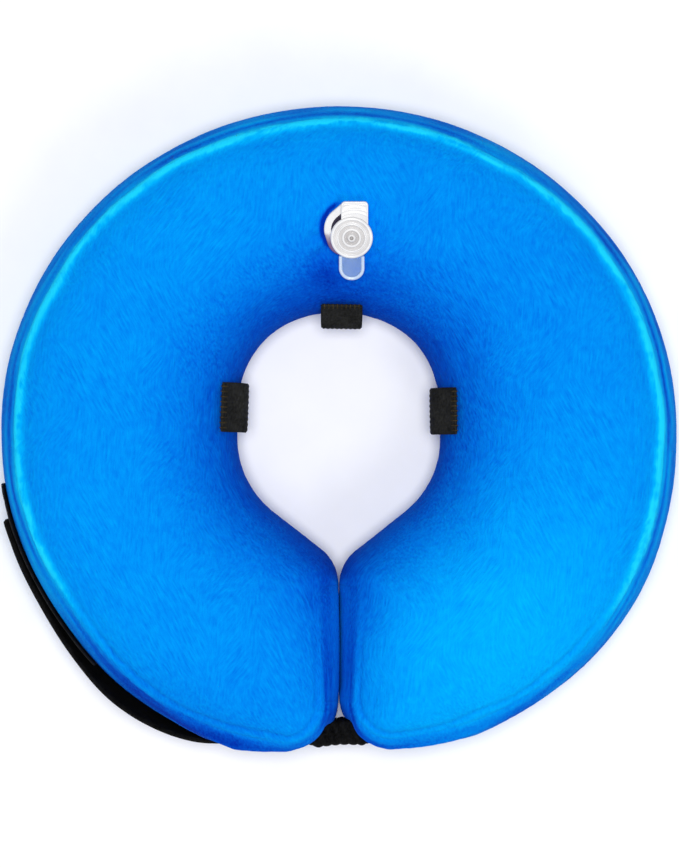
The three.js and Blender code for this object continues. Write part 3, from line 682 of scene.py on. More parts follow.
def gather_wave(s, seed):
    """Irregular wave along a seam, with crests about 3 to 5 mm apart."""
    warp_cell, coarse_cell, strength_cell = GATHER_CELLS
    warp = GATHER_WARP * line_noise(s, warp_cell, seed)
    fine = np.sin(2 * np.pi * (s + warp) / GATHER_PITCH)
    coarse = line_noise(s, coarse_cell, seed + 1, 7)
    strength = 0.55 + 0.45 * line_noise(s, strength_cell, seed + 2, 3)
    return (0.6 * fine + 0.9 * coarse) * strength


def grid_normals(grid, upwards):
    """Unit normals of a grid of points, on the side of the given direction at its middle."""
    normal = np.cross(np.gradient(grid, axis=0), np.gradient(grid, axis=1))
    normal /= np.maximum(np.linalg.norm(normal, axis=2), 1e-9)[..., None]
    middle = normal[normal.shape[0] // 2, normal.shape[1] // 2]
    return normal if middle @ upwards > 0 else -normal


# Meshes

def signed_volume(points, quads):
    a, b, c, d = (points[quads[:, k]] for k in range(4))
    return (np.cross(a, b) * c).sum() + (np.cross(a, c) * d).sum()


def make_piece(name, points, quads, ends, material, replaced=(), tone=None):
    """A piece of the object from points in the outline's frame, in millimetres."""
    mesh = bpy.data.meshes.new(name)
    mesh.from_pydata(((points + ORIGIN) * MM).tolist(), [], quads.tolist() + ends)
    # The tone attribute carries painted light and shade
    if tone is not None:
        mesh.attributes.new("tone", "FLOAT", "POINT").data.foreach_set("value", tone)
    mesh.validate()
    mesh.shade_smooth()
    mesh.set_sharp_from_angle(angle=SHARP_ANGLE)
    mesh.materials.append(material)
    piece = bpy.data.objects.new(name, mesh)
    bpy.context.scene.collection.objects.link(piece)
    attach(piece, "root")
    if replaced:
        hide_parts(*replaced)
    return piece


def grid_quads(grid):
    """Quads between the neighbours in a grid of point numbers."""
    corners = [grid[:-1, :-1], grid[:-1, 1:], grid[1:, 1:], grid[1:, :-1]]
    return np.stack(corners, axis=-1).reshape(-1, 4)


def outwards(points, quads, ends):
    """The faces of a closed skin, turned to face outwards."""
    if signed_volume(points, quads) < 0:
        return quads[:, ::-1], [end[::-1] for end in ends]
    return quads, ends


def make_shell(name, outer, inner, material, replaced=(), tone=None, pointed=False):
    """A closed wall between two grids; a pointed one closes on a point at both its ends."""
    points = np.vstack([outer.reshape(-1, 3), inner.reshape(-1, 3)])
    if tone is not None:
        tone = np.concatenate([tone.ravel(), np.zeros(inner.shape[0] * inner.shape[1])])
    number = np.arange(len(points))
    out, into = [
        part.reshape(grid.shape[:2])
        for part, grid in zip(np.split(number, [outer.shape[0] * outer.shape[1]]), (outer, inner))
    ]
    first = np.stack([out[:-1, 0], into[:-1, 0], into[1:, 0], out[1:, 0]], axis=-1)
    last = np.stack([out[:-1, -1], out[1:, -1], into[1:, -1], into[:-1, -1]], axis=-1)
    quads = np.vstack([
        grid_quads(out)[:, [0, 3, 2, 1]], grid_quads(into)[:, [1, 2, 3, 0]], first, last,
    ])
    ends = [[*out[0], *into[0][::-1]], [*out[-1][::-1], *into[-1]]]
    quads, ends = outwards(points, quads, ends)
    ends = [] if pointed else ends
    piece = make_piece(name, points, quads, ends, material, replaced, tone)
    if pointed:
        merge_points(piece.data)
    return piece


def merge_points(mesh):
    """Joins the points that lie on each other."""
    work = bmesh.new()
    work.from_mesh(mesh)
    bmesh.ops.remove_doubles(work, verts=work.verts, dist=MERGE_DISTANCE)
    work.to_mesh(mesh)
    work.free()


def make_tubes(name, tubes, material, replaced=(), closed=False, tone=None):
    """Skins over rings of points, which end in flat caps or join their first ring."""
    points, quads, ends, start = [], [], [], 0
    for rings in tubes:
        rings = np.array(rings)
        flat = rings.reshape(-1, 3)
        number = np.arange(len(flat)).reshape(rings.shape[:2])
        grid = np.column_stack([number, number[:, 0]])
        if closed:
            grid = np.vstack([grid, grid[:1]])
        caps = [] if closed else [number[0][::-1], number[-1]]
        sides, caps = outwards(flat, grid_quads(grid), caps)
        points.append(flat)
        quads.append(sides + start)
        ends += [(cap + start).tolist() for cap in caps]
        start += len(flat)
    points, quads = np.vstack(points), np.vstack(quads)
    return make_piece(name, points, quads, ends, material, replaced, tone)


# Materials

def set_inputs(tree, node, values):
    """Sets a node's sockets to values, or links them to other nodes' sockets."""
    for socket, value in values.items():
        if isinstance(value, bpy.types.NodeSocket):
            tree.links.new(value, node.inputs[socket])
        else:
            node.inputs[socket].default_value = value


def new_material(name):
    material = bpy.data.materials.new(name)
    material.use_nodes = True
    return material, material.node_tree, material.node_tree.nodes["Principled BSDF"]


def noise(tree, scale, detail, angle=0):
    """Noise in the object's own place, turned about the upright axis and stretched."""
    place, turn, stretch, grain = [
        tree.nodes.new("ShaderNode" + kind) for kind in ("TexCoord", "Mapping", "Mapping", "TexNoise")
    ]
    scale = scale if isinstance(scale, tuple) else (scale, scale, scale)
    set_inputs(tree, turn, {"Vector": place.outputs["Object"], "Rotation": (0, 0, angle)})
    set_inputs(tree, stretch, {"Vector": turn.outputs["Vector"], "Scale": scale})
    set_inputs(tree, grain, {
        "Vector": stretch.outputs["Vector"], "Scale": 1.0, "Detail": detail, "Roughness": 0.55,
    })
    return grain.outputs["Fac"]


def math_node(tree, operation, *values):
    node = tree.nodes.new("ShaderNodeMath")
    node.operation = operation
    set_inputs(tree, node, dict(enumerate(values)))
    return node.outputs["Value"]


def blend(tree, share, first, second):
    node = tree.nodes.new("ShaderNodeMix")
    node.data_type = "FLOAT"
    set_inputs(tree, node, {"Factor": share, "A": first, "B": second})
    return node.outputs["Result"]


def ramp(tree, value, stops):
    node = tree.nodes.new("ShaderNodeValToRGB")
    elements = node.color_ramp.elements
    while len(elements) < len(stops):
        elements.new(0.5)
    for element, (place, colour) in zip(elements, stops):
        element.position = place
        element.color = (*colour, 1)
    set_inputs(tree, node, {"Fac": value})
    return node.outputs["Color"]


def bump(tree, height, strength, depth, **normal):
    node = tree.nodes.new("ShaderNodeBump")
    set_inputs(tree, node, {"Strength": strength, "Distance": depth, "Height": height, **normal})
    return node.outputs["Normal"]


def carried_tone(tree):
    """The tone that a mesh carries, which holds its painted light and shade."""
    node = tree.nodes.new("ShaderNodeAttribute")
    node.attribute_name = "tone"
    return node.outputs["Fac"]


def plush_material():
    """Short combed pile: fine streaks whose direction drifts, over soft mottling."""
    material, tree, shader = new_material("plush")
    strand = (230, 1500, 1500)
    layers = [noise(tree, strand, 2.5, math.radians(angle)) for angle in (62, 95, 128)]
    drift = noise(tree, 38, 1)
    first = ramp(tree, drift, [(0.42, (0, 0, 0)), (0.52, (1, 1, 1))])
    second = ramp(tree, drift, [(0.52, (0, 0, 0)), (0.62, (1, 1, 1))])
    combed = blend(tree, first, layers[0], layers[1])
    combed = blend(tree, second, combed, layers[2])
    tufts = noise(tree, 420, 2)
    fibre = noise(tree, 3600, 1)
    mottle = noise(tree, 70, 2)
    tone = math_node(tree, "MULTIPLY_ADD", combed, 0.34, 0.23)
    tone = math_node(tree, "MULTIPLY_ADD", tufts, 0.12, tone)
    tone = math_node(tree, "MULTIPLY_ADD", mottle, 0.08, tone)
    # Adds the painted light and shade that the mesh carries
    tone = math_node(tree, "ADD", tone, carried_tone(tree))
    colour = ramp(tree, tone, [
        (0.1, (0.0, 0.03, 0.4)),
        (0.25, (0.0, 0.09, 0.6)),
        (0.38, (0.0, 0.175, 0.75)),
        (0.5, (0.0, 0.255, 0.83)),
        (0.75, (0.0, 0.42, 0.94)),
        (0.95, (0.01, 0.62, 1.0)),
    ])
    normal = bump(tree, combed, 0.55, 0.0005)
    normal = bump(tree, tufts, 0.35, 0.0009, Normal=normal)
    normal = bump(tree, fibre, 0.3, 0.0002, Normal=normal)
    set_inputs(tree, shader, {
        "Base Color": colour,
        "Normal": normal,
        "Roughness": 0.9,
        "Specular IOR Level": 0.02,
        "Sheen Weight": 0.02,
        "Sheen Roughness": 0.45,
        "Sheen Tint": (0.1, 0.5, 1.0, 1),
    })
    return material


def webbing_material(name, dark, light):
    """Ribbed black tape: a fine weave under the ribs that the meshes carry."""
    material, tree, shader = new_material(name)
    weave = noise(tree, (1700, 900, 1700), 2, 0.4)
    wear = noise(tree, 260, 3)
    tone = math_node(tree, "MULTIPLY", weave, 0.6)
    tone = math_node(tree, "ADD", tone, math_node(tree, "MULTIPLY", wear, 0.4))
    set_inputs(tree, shader, {
        "Base Color": ramp(tree, tone, [(0.35, dark), (0.68, light)]),
        "Normal": bump(tree, weave, 0.6, 0.0002),
        "Roughness": 0.8,
        "Specular IOR Level": 0.06,
    })
    return material


def plastic_material(name, dull, clear, transmission, roughness):
    """Soft clear plastic: slightly cloudy, with faint moulding marks."""
    material, tree, shader = new_material(name)
    set_inputs(tree, shader, {
        "Base Color": ramp(tree, noise(tree, 240, 3), [(0.3, dull), (0.7, clear)]),
        "Normal": bump(tree, noise(tree, 900, 2), 0.12, 0.0002),
        "Roughness": roughness,
        "Transmission Weight": transmission,
        "IOR": 1.45,
        "Coat Weight": 0.3,
        "Coat Roughness": 0.15,
    })
    return material


CAP_LOOK = ((0.8, 0.8, 0.82), (0.93, 0.93, 0.94), 0.1, 0.35)


def shaded_plastic(name, stops):
    """The cap's plastic, shaded by the tone that the mesh carries."""
    material = plastic_material(name, *CAP_LOOK)
    tree = material.node_tree
    shader = tree.nodes["Principled BSDF"]
    mix = tree.nodes.new("ShaderNodeVectorMath")
    mix.operation = "MULTIPLY"
    pale = shader.inputs["Base Color"].links[0].from_socket
    set_inputs(tree, mix, {0: pale, 1: ramp(tree, carried_tone(tree), stops)})
    set_inputs(tree, shader, {"Base Color": mix.outputs["Vector"]})
    return material


def floor_material():
    material, tree, shader = new_material("floor_paint")
    stops = [(0.3, (0.96, 0.96, 0.95)), (0.7, (0.99, 0.99, 0.98))]
    set_inputs(tree, shader, {"Base Color": ramp(tree, noise(tree, 60, 3), stops), "Roughness": 0.9})
    return material


plush = plush_material()
webbing = webbing_material("webbing", (0.008, 0.008, 0.007), (0.03, 0.03, 0.027))
strap_webbing, pleat_webbing = [
    webbing_material(name, (0.001, 0.001, 0.001), (0.009, 0.009, 0.009))
    for name in ("strap_webbing", "pleat_webbing")
]
loop_pile = webbing_material("loop_pile", (0.004, 0.004, 0.005), (0.03, 0.03, 0.032))
thread = webbing_material("thread", (0.02, 0.016, 0.008), (0.075, 0.058, 0.03))
cap_plastic = plastic_material("cap_plastic", *CAP_LOOK)
tab_plastic = plastic_material("tab_plastic", (0.3, 0.52, 0.95), (0.42, 0.64, 1.0), 0.6, 0.22)
# Ramp of painted shade: white plastic, dark lilac on the flange's lower part, near black shadow in
# the recess
flange_plastic = shaded_plastic("flange_plastic", [
    (0.0, (1.0, 1.0, 1.0)),
    (0.5, (0.22, 0.13, 0.25)),
    (1.0, (0.02, 0.012, 0.05)),
])
cap_face_plastic = shaded_plastic("cap_face_plastic", [
    (0.0, (1.0, 1.0, 1.0)),
    (0.3, (0.66, 0.64, 0.63)),
    (1.0, (0.2, 0.19, 0.19)),
])
rim_plastic = plastic_material("rim_plastic", (0.6, 0.74, 0.95), (0.74, 0.85, 1.0), 0.25, 0.25)
film = plastic_material("film", (0.45, 0.58, 0.68), (0.58, 0.7, 0.78), 0.5, 0.3)


# Relief of the cover

def wandering(gap, place):
    """Distance from a seam's ridge, which wanders a little from side to side."""
    return gap - RIDGE_WANDER * line_noise(place, RIDGE_WANDER_CELL, SEAM_SEED + 11)


def seamward(gap):
    """Share of the band that lies near its seam."""
    return smoothstep((gap + SEAMWARD_REACH) / SEAMWARD_FADE)


def streaks(gap, place):
    """Long uneven streaks beside the rim seam, mostly on the band."""
    uneven = lattice_noise(place, gap, *STREAK_CELLS, SEAM_SEED + 12)
    return uneven * smoothstep((STREAK_END - gap) / STREAK_FADE) * seamward(gap)


def seam_relief(gap, strength, place, y):
    """Relief across a seam, with the gap below zero on the band: a ridge, and a crease inside it."""
    at = wandering(gap, place)
    ridge = swell(at, *RIDGE) * at_least(RIDGE_LEAST, rim_share(y))
    relief = ridge + swell(at, *CREASE) * (CREASE_MOST - rim_share(y))
    return strength * (relief + STREAK_HEIGHT * streaks(gap, place))


def gather_relief(gap, place, y):
    """Short puckers that run away from a seam, stronger along the lower limbs."""
    away = np.abs(gap)
    lean = GATHER_LEAN * line_noise(place, GATHER_LEAN_CELL, SEAM_SEED + 9)
    wave = gather_wave(place + lean * away, SEAM_SEED)
    low = at_least(0.5, smoothstep((GATHER_UPPER_Y - y) / GATHER_LOWERING))
    rise = smoothstep(away / GATHER_START)
    return GATHER_HEIGHT * low * wave * rise * np.exp(-away / GATHER_REACH)


def pressed(points):
    """Share of the relief that is left: none where a loop's sewn end lies on the cover."""
    share = np.ones(points.shape[:-1])
    for _, angle, width, _, _ in COLLAR_LOOPS:
        point, into, aside = loop_frame(angle)
        offset = points[..., :2] - point
        sideways = np.abs(offset @ aside) - width / 2
        back = -(offset @ into)
        away = np.maximum(np.maximum(sideways, back - LOOP_PRESS_BACK), -LOOP_PRESS_DOWN - back)
        share = np.minimum(share, smoothstep(away / LOOP_PRESS_FADE))
    return share


def beside_valve(points, offset):
    """Offsets from a place beside the valve's middle."""
    return points[..., 0] - VALVE_X - offset[0], points[..., 1] - VALVE_Y - offset[1]


def valve_relief(points):
    """The fabric sinks and puckers a little around the valve."""
    dx, dy = beside_valve(points, PUCKER_MIDDLE)
    away = np.hypot(dx, dy)
    turn = np.arctan2(dy, dx)
    few, many = PUCKER_COUNTS
    puckers = np.sin(few * turn + 1.3 * np.sin(2 * turn)) + 0.6 * np.sin(many * turn + 2)
    left = 0.65 + 0.35 * np.cos(turn - PUCKER_SIDE)
    under = VALVE_DENT * smoothstep((VALVE_DENT_RADIUS - away) / VALVE_DENT_FADE)
    return left * (swell(away, *PUCKERS) * puckers + swell(away, *PUCKER_SINK)) + under


def undulation(points, seed):
    """Slow unevenness of the filled cover and the fine relief of the combed pile."""
    x, y = points[..., 0], points[..., 1]
    wide, narrow = UNDULATION_CELLS
    slow = lattice_noise(x, y, wide, wide, seed)
    slow = slow + UNDULATION_FINE * lattice_noise(x, y, narrow, narrow, seed + 1)
    c, s = PILE_WAY
    pile = lattice_noise(x * c + y * s, -x * s + y * c, *PILE_CELLS, seed + 2)
    return UNDULATION * slow + PILE_RELIEF * pile


def rim_painted_light(gap, strength, place, y):
    """Painted light and shade beside the rim seam: a painted highlight on the ridge, painted shade in
    the crease, lines of painted light and shade, streaks, and a strip of painted shade low down.
    """
    # Painted glints that break up the painted highlight on the ridge
    even, following, uneven = RIDGE_GLINTS
    glints = even + following * gather_wave(place * GLINT_STRETCH, SEAM_SEED)
    glints = glints + uneven * lattice_noise(place, gap, *GLINT_CELLS, SEAM_SEED + 13)
    at = wandering(gap, place)
    # Painted highlight along the ridge, and painted shade in the crease beside it
    ridge = swell(at, *RIDGE_HIGHLIGHT) * glints * rim_share(y)
    crease = swell(at, -CREASE_SHADE, *CREASE[1:]) * (CREASE_SHADE_MOST - rim_share(y))
    # Painted shade on the band's lower strip down the limbs, where its steep side faces away from the
    # light
    low = smoothstep((STRIP_START_Y - y) / (STRIP_START_Y - STRIP_FULL_Y))
    near_seam = smoothstep((STRIP_PLACE - gap) / STRIP_FADE) * seamward(gap)
    strip = STRIP_SHADE * near_seam * low * np.minimum(5 * strength, 1)
    # Lines of painted light and shade along the band beside the seam
    patchy = 0.85 + 0.6 * seamward(gap) * line_noise(place, LINE_CELL, SEAM_SEED + 14, 5)
    lines = np.interp(at, LINE_PLACES, LINE_LIGHT_AND_SHADE) * patchy * at_least(LINE_LEAST, rim_share(y))
    return strength * (ridge + crease + lines + STREAK_TONE * streaks(gap, place)) + strip


def painted_plush_light(points, gap, strength, place):
    """Painted light and shade on the pile: painted shade round the neck hole, at the limbs' ends and
    left of the valve's flange, a painted highlight on the ridge of the rim seam, and patches of
    painted light and shade.
    """
    x, y = points[..., 0], points[..., 1]
    to_neck, _, to_end = [
        part.reshape(gap.shape) for part in edge_distances(points.reshape(-1, 3)[:, :2])
    ]
    tone = rim_painted_light(gap, strength, place, y)
    # Painted shade round the neck hole and at the limbs' ends, with painted light right at the ends
    tone = tone + fall(to_neck, *NECK_SHADE) + fall(to_end, *END_SHADE) + fall(to_end, *END_PAINTED_LIGHT)
    # Painted shade left of the valve's flange
    beside_x, beside_y = beside_valve(points, VALVE_SHADE_MIDDLE)
    leftwards = smoothstep((-beside_x - 1) / 4)
    tone = tone + swell(np.hypot(beside_x, beside_y), *VALVE_SHADE) * leftwards
    # Patches of painted light and shade
    for middle_x, middle_y, reach, change in LIGHT_AND_SHADE_PATCHES:
        tone = tone + change * np.exp(-((x - middle_x) ** 2 + (y - middle_y) ** 2) / reach ** 2)
    return tone


# Cover

def panel_edge(places, inset, beyond):
    """Plan of a panel's edge: points from the seam inwards for each place of the outline."""
    at, normal = outline[places], inward[places]
    lean = np.interp(beyond / PANEL_EDGE, FACE_INSETS, FACE_LEANS)
    reach = seam_inset(at[:, 1])[:, None] + SEAM_GAP / 2 + beyond + inset * lean
    return at[:, None, :] + normal[:, None, :] * reach[..., None]


def panel_surface(inset, side, beyond, crown_rows):
    """A panel: a row of points for each station, from the neck seam to the rim seam.

    Towards the limbs' ends the rows are nested in each other and close on a point.
    """
    stations = np.arange(STATIONS + 1)
    from_end = np.minimum(stations, STATIONS - stations)
    beyond = beyond * np.minimum(from_end / END_STEPS, 1)[:, None]
    rim_side = panel_edge(stations, inset, beyond)
    neck_side = panel_edge((LOOP - stations) % LOOP, inset, beyond)
    share = (np.arange(1, crown_rows) / crown_rows)[None, :, None]
    crown = neck_side[:, -1:] * (1 - share) + rim_side[:, -1:] * share
    plan = np.concatenate([neck_side, crown, rim_side[:, ::-1]], axis=1)
    return on_surface(plan.reshape(-1, 2), inset, side).reshape(*plan.shape[:2], 3)


def keep_above_floor(grid):
    grid[..., 2] = np.maximum(grid[..., 2], -(HALF_DEPTH - REST_CRUSH))


def make_panel(name, side, seed):
    edge = PANEL_EDGE * np.linspace(0, 1, EDGE_ROWS + 1) ** EDGE_CROWDING
    outer = panel_surface(0, side, edge, CROWN_ROWS)
    inner = panel_surface(
        COVER_WALL, side, np.linspace(0, PANEL_EDGE, INNER_EDGE_ROWS + 1), INNER_ROWS,
    )
    shape = outer.shape[:2]
    plan = outer[..., :2].reshape(-1, 2)
    y = outer[..., 1]
    gap = np.minimum.reduce(edge_distances(plan)).reshape(shape) - seam_inset(y)
    stations = np.arange(STATIONS + 1)
    ring_share = np.clip((np.arange(shape[1]) - EDGE_ROWS) / CROWN_ROWS, 0, 1)[None, :]
    at_end = (np.minimum(stations, STATIONS - stations) <= END_STEPS)[:, None]
    ring_share = np.where(at_end, ring_share, np.round(ring_share))
    neck_place, rim_place = (LOOP - stations) % LOOP, stations
    place, strength, gathers = [
        values[neck_place][:, None] * (1 - ring_share) + values[rim_place][:, None] * ring_share
        for values in (signed_length, seam_strength, gather_share)
    ]
    relief = seam_relief(gap, strength, place, y) + gathers * gather_relief(gap, place, y)
    relief = relief + smoothstep(gap / FILL_START) * undulation(outer, seed)
    if side > 0:
        relief = relief + valve_relief(outer)
    relief = np.where(relief > 0, relief * pressed(outer), relief)
    # The panel carries its painted light and shade as its tone
    tone = painted_plush_light(outer, gap, strength, place)
    outer = outer + surface_normals(plan, side).reshape(*shape, 3) * relief[..., None]
    if side < 0:
        keep_above_floor(outer)
    return make_shell(name + "_plush", outer, inner, plush, [name], tone, pointed=True)


def band_surface(places, inset, share):
    """Points of a side band at outline places; share runs from -1 at the back seam to 1."""
    at, normal = outline[places % LOOP], inward[places % LOOP]
    part = np.abs(share)
    lean, groove, lip = [
        np.interp(part, BAND_INSETS, values) for values in (BAND_LEANS, BAND_GROOVES, BAND_LIPS)
    ]
    depth = seam_inset(at[:, 1])[:, None] * part - (part >= 1) * SEAM_GAP / 2 + inset * lean
    flat = at[:, None, :] + normal[:, None, :] * depth[..., None]
    height = half_height(flat.reshape(-1, 2), inset).reshape(flat.shape[:2])
    back = np.minimum(height, HALF_DEPTH - REST_CRUSH - inset)
    upright = np.where(share[None, :] >= 0, height, -back)
    upright[:, part == 0] = 0
    dent = groove_share(at, normal)[:, None] * (GROOVE_DEPTH * groove)
    dent = dent - lip_reach(at, normal)[:, None] * lip
    flat = flat + normal[:, None, :] * dent[..., None]
    return np.concatenate([flat, upright[..., None]], axis=2)


def both_ways(part):
    """Shares from -1 to 1 from those of one half."""
    return np.concatenate([-part[:0:-1], part])


def trim_ends(grid):
    """Opens a hairline gap at both ends of a band, where the next one starts."""
    for end, following in ((0, 1), (-1, -2)):
        step = grid[following] - grid[end]
        length = np.linalg.norm(step, axis=1)[:, None]
        grid[end] = grid[end] + step * BAND_END_GAP / np.maximum(length, 1e-6)


def make_band(name, first, last):
    """A stretch of the side band, which runs on evenly into the next stretch."""
    places = np.arange(first, last + 1)
    share = both_ways(np.linspace(0, 1, BAND_ROWS + 1) ** BAND_CROWDING)
    wide = band_surface(np.arange(first - 1, last + 2), 0, share)
    outer = wide[1:-1]
    inner = band_surface(places, COVER_WALL, both_ways(np.linspace(0, 1, INNER_BAND_ROWS + 1) ** 2))
    away = -np.append(inward[places[len(places) // 2] % LOOP], 0)
    normal = grid_normals(wide, away)[1:-1]
    at = places % LOOP
    y = outer[..., 1]
    gap = -seam_inset(outline[at][:, 1])[:, None] * BAND_STEEPNESS * (1 - np.abs(share))[None, :]
    place = signed_length[at][:, None] + 0 * gap
    strength = seam_strength[at][:, None]
    relief = seam_relief(gap, strength, place, y)
    relief = relief + BAND_GATHERS * gather_share[at][:, None] * gather_relief(gap, place, y)
    slow = lattice_noise(place, outer[..., 2], *BAND_UNDULATION_CELLS, SEAM_SEED + 6)
    fine = lattice_noise(place, outer[..., 2], *BAND_PILE_CELLS, SEAM_SEED + 7)
    uneven = UNDULATION * (BAND_UNDULATION * slow) + PILE_RELIEF * fine
    relief = relief + smoothstep(-gap / BAND_FILL_START) * uneven
    relief = np.where(relief > 0, relief * pressed(outer), relief)
    # The band carries its painted light and shade as its tone
    tone = painted_plush_light(outer, gap, strength, place)
    outer = outer + normal * relief[..., None]
    if len(places) == 2 * END_STEPS + 1:
        from_end = np.minimum(np.arange(len(places)), len(places) - 1 - np.arange(len(places)))
        fade = smoothstep(from_end / END_WAVE_FADE)[:, None] * (1 - share ** 4)[None, :]
        outer[..., 0] += END_WAVE * fade * np.sin(2 * np.pi * outer[..., 2] / END_WAVE_LENGTH)
    keep_above_floor(outer)
    trim_ends(outer)
    trim_ends(inner)
    return make_shell(name + "_plush", outer, inner, plush, [name], tone)


# Frame of the valve: its place and its axis, square to the cover

def turned_upright(axis):
    """Matrix of the shortest turn that takes the upright axis to a direction."""
    upright = np.array([0, 0, 1.0])
    v = np.cross(upright, axis)
    cross = np.array([[0, -v[2], v[1]], [v[2], 0, -v[0]], [-v[1], v[0], 0]])
    return np.eye(3) + cross + cross @ cross / (1 + upright @ axis)


probe = np.array([VALVE_X, VALVE_Y]) + VALVE_SLOPE_STEP * np.array([[0, 0], [1, 0], [0, 1]])
probe_height = half_height(probe)
valve_place = np.array([VALVE_X, VALVE_Y, probe_height[0]])
valve_axis = np.append(probe_height[0] - probe_height[1:], VALVE_SLOPE_STEP)
valve_turn = turned_upright(valve_axis / np.linalg.norm(valve_axis))


def valve_points(points):
    """Points of the valve's frame in the outline's frame."""
    points = np.array(points)
    return (points.reshape(-1, 3) @ valve_turn.T + valve_place).reshape(points.shape)


def cut_valve_hole(panel):
    """Cuts the round hole that the valve's stem stands in."""
    angle = circle_angles(COVER_HOLE_SIDES)
    circle = COVER_HOLE_RADIUS * np.column_stack([np.cos(angle), np.sin(angle)])
    rings = [
        valve_points(np.column_stack([circle, np.full(COVER_HOLE_SIDES, z)]))
        for z in (-COVER_HOLE_REACH, COVER_HOLE_REACH)
    ]
    cutter = make_tubes("valve_hole_cutter", [rings], plush)
    modifier = panel.modifiers.new("valve_hole", "BOOLEAN")
    modifier.operation = "DIFFERENCE"
    modifier.solver = "MANIFOLD"
    modifier.object = cutter
    bpy.context.view_layer.update()
    graph = bpy.context.evaluated_depsgraph_get()
    cut = bpy.data.meshes.new_from_object(panel.evaluated_get(graph))
    panel.modifiers.remove(modifier)
    panel.data = cut
    bpy.data.objects.remove(cutter)


def make_cover():
    made = [make_panel("front_panel", 1, 91), make_panel("back_panel", -1, 291)]
    cut_valve_hole(made[0])
    bands = (
        ("outer_band", END_STEPS, STATIONS - END_STEPS),
        ("neck_band", STATIONS + END_STEPS, LOOP - END_STEPS),
        ("end_panel_left", -END_STEPS, END_STEPS),
        ("end_panel_right", STATIONS - END_STEPS, STATIONS + END_STEPS),
    )
    return made + [make_band(*band) for band in bands]


# Webbing

def smooth_line(points, count):
    """Evenly spaced points on a smooth line through the given ones."""
    points = np.array(points, float)
    ends = 2 * points[0] - points[1], 2 * points[-1] - points[-2]
    path = np.vstack([ends[0], points, ends[1]])
    t = np.linspace(0, 1, 24, endpoint=False)[:, None]
    fine = []
    for k in range(len(points) - 1):
        a, b, c, d = path[k:k + 4]
        bend = (2 * a - 5 * b + 4 * c - d) * t ** 2 + (3 * b - a - 3 * c + d) * t ** 3
        fine.append(0.5 * (2 * b + (c - a) * t + bend))
    return resample(np.vstack([*fine, points[-1:]]), count)


def tape_rings(centre, normal, side, thickness, width, ribs, rib_depth):
    """Cross sections of a ribbed tape with rounded edges."""
    across = np.linspace(-1, 1, ribs * 4 + 1)
    half = np.sqrt(1 - np.abs(across) ** 12)
    half = half * (1 - rib_depth * (0.5 + 0.5 * np.cos(np.pi * ribs * (across + 1))))
    top = np.column_stack([across, half])
    bottom = np.column_stack([across, -half])[1:-1][::-1]
    section = np.vstack([top, bottom])
    sideways = side[:, None, :] * (section[:, 0] * width[:, None] / 2)[..., None]
    upwards = normal[:, None, :] * (section[:, 1] * thickness[:, None] / 2)[..., None]
    return centre[:, None, :] + sideways + upwards


def line_normals(line):
    step = np.gradient(line, axis=0)
    step /= np.linalg.norm(step, axis=1)[:, None]
    return np.column_stack([-step[:, 1], step[:, 0]])


def tape_on_edge(line, thickness, width, ribs):
    """Rings of a tape that stands on edge along a line of the plane, and its normals."""
    flat = np.zeros(len(line))
    normal = np.column_stack([line_normals(line), flat])
    side = np.tile([0, 0, 1.0], (len(line), 1))
    rings = tape_rings(np.column_stack([line, flat]), normal, side, thickness, width, *ribs)
    return rings, normal[:, None, :]


def stitch(start, end, rise):
    """A bar of sewing thread that dives into the cloth at both ends."""
    t = np.linspace(0, 1, 9)
    arch = np.sqrt(np.clip(1 - (2 * t - 1) ** 2, 0, 1))
    middle = start + (end - start) * t[:, None] + rise * (0.2 + 0.95 * arch)[:, None]
    direction = (end - start) / np.linalg.norm(end - start)
    first = rise / np.linalg.norm(rise)
    second = np.cross(direction, first)
    angle = circle_angles(8)
    round_part = np.cos(angle)[:, None] * first + np.sin(angle)[:, None] * second
    radius = STITCH_RADIUS * at_least(0.35, arch)
    return middle[:, None, :] + round_part * radius[:, None, None]


def loop_line(angle, width, stand, reach):
    """A loop's line, in the plane square to the neck edge: how far into the hole, and height."""
    point, into, aside = loop_frame(angle)
    lift = CLEARANCE + LOOP_THICKNESS / 2

    def highest(distance_back):
        across = np.array([-width / 2, 0, width / 2])[:, None]
        return half_height(point - into * distance_back + aside * across).max()

    def on_cover(distance_back):
        height = highest(distance_back)
        normal = np.array([highest(distance_back + 1) - height, 1])
        normal = normal / np.linalg.norm(normal)
        return np.array([-distance_back, height]) + normal * lift * LOOP_LIFT

    out = stand - LOOP_THICKNESS / 2
    end, bend = on_cover(reach), on_cover(reach * LOOP_BEND)
    upper = [end, bend, np.array([out, bend[1] - LOOP_DROP])]
    lower = [p * [1, -1] for p in upper[::-1]]
    return smooth_line([*upper, np.array([out, 0.0]), *lower], LOOP_POINTS)


def end_stitches(centre, normal, side, width):
    """Bars of thread over both sewn ends of a loop."""
    stitches = []
    for start, direction in ((0, 1), (len(centre) - 1, -1)):
        far = centre[start + direction * STITCH_INWARDS]
        near = centre[start] - (far - centre[start]) * STITCH_OUTWARDS
        rise = normal[start] * (LOOP_THICKNESS * STITCH_RISE)
        for k in range(STITCHES_PER_END):
            across = (k + 0.5) / STITCHES_PER_END * 2 - 1
            lateral = side[start] * across * width / 2 * STITCH_SPREAD
            stitches.append(stitch(near + lateral, far + lateral, rise))
    return stitches


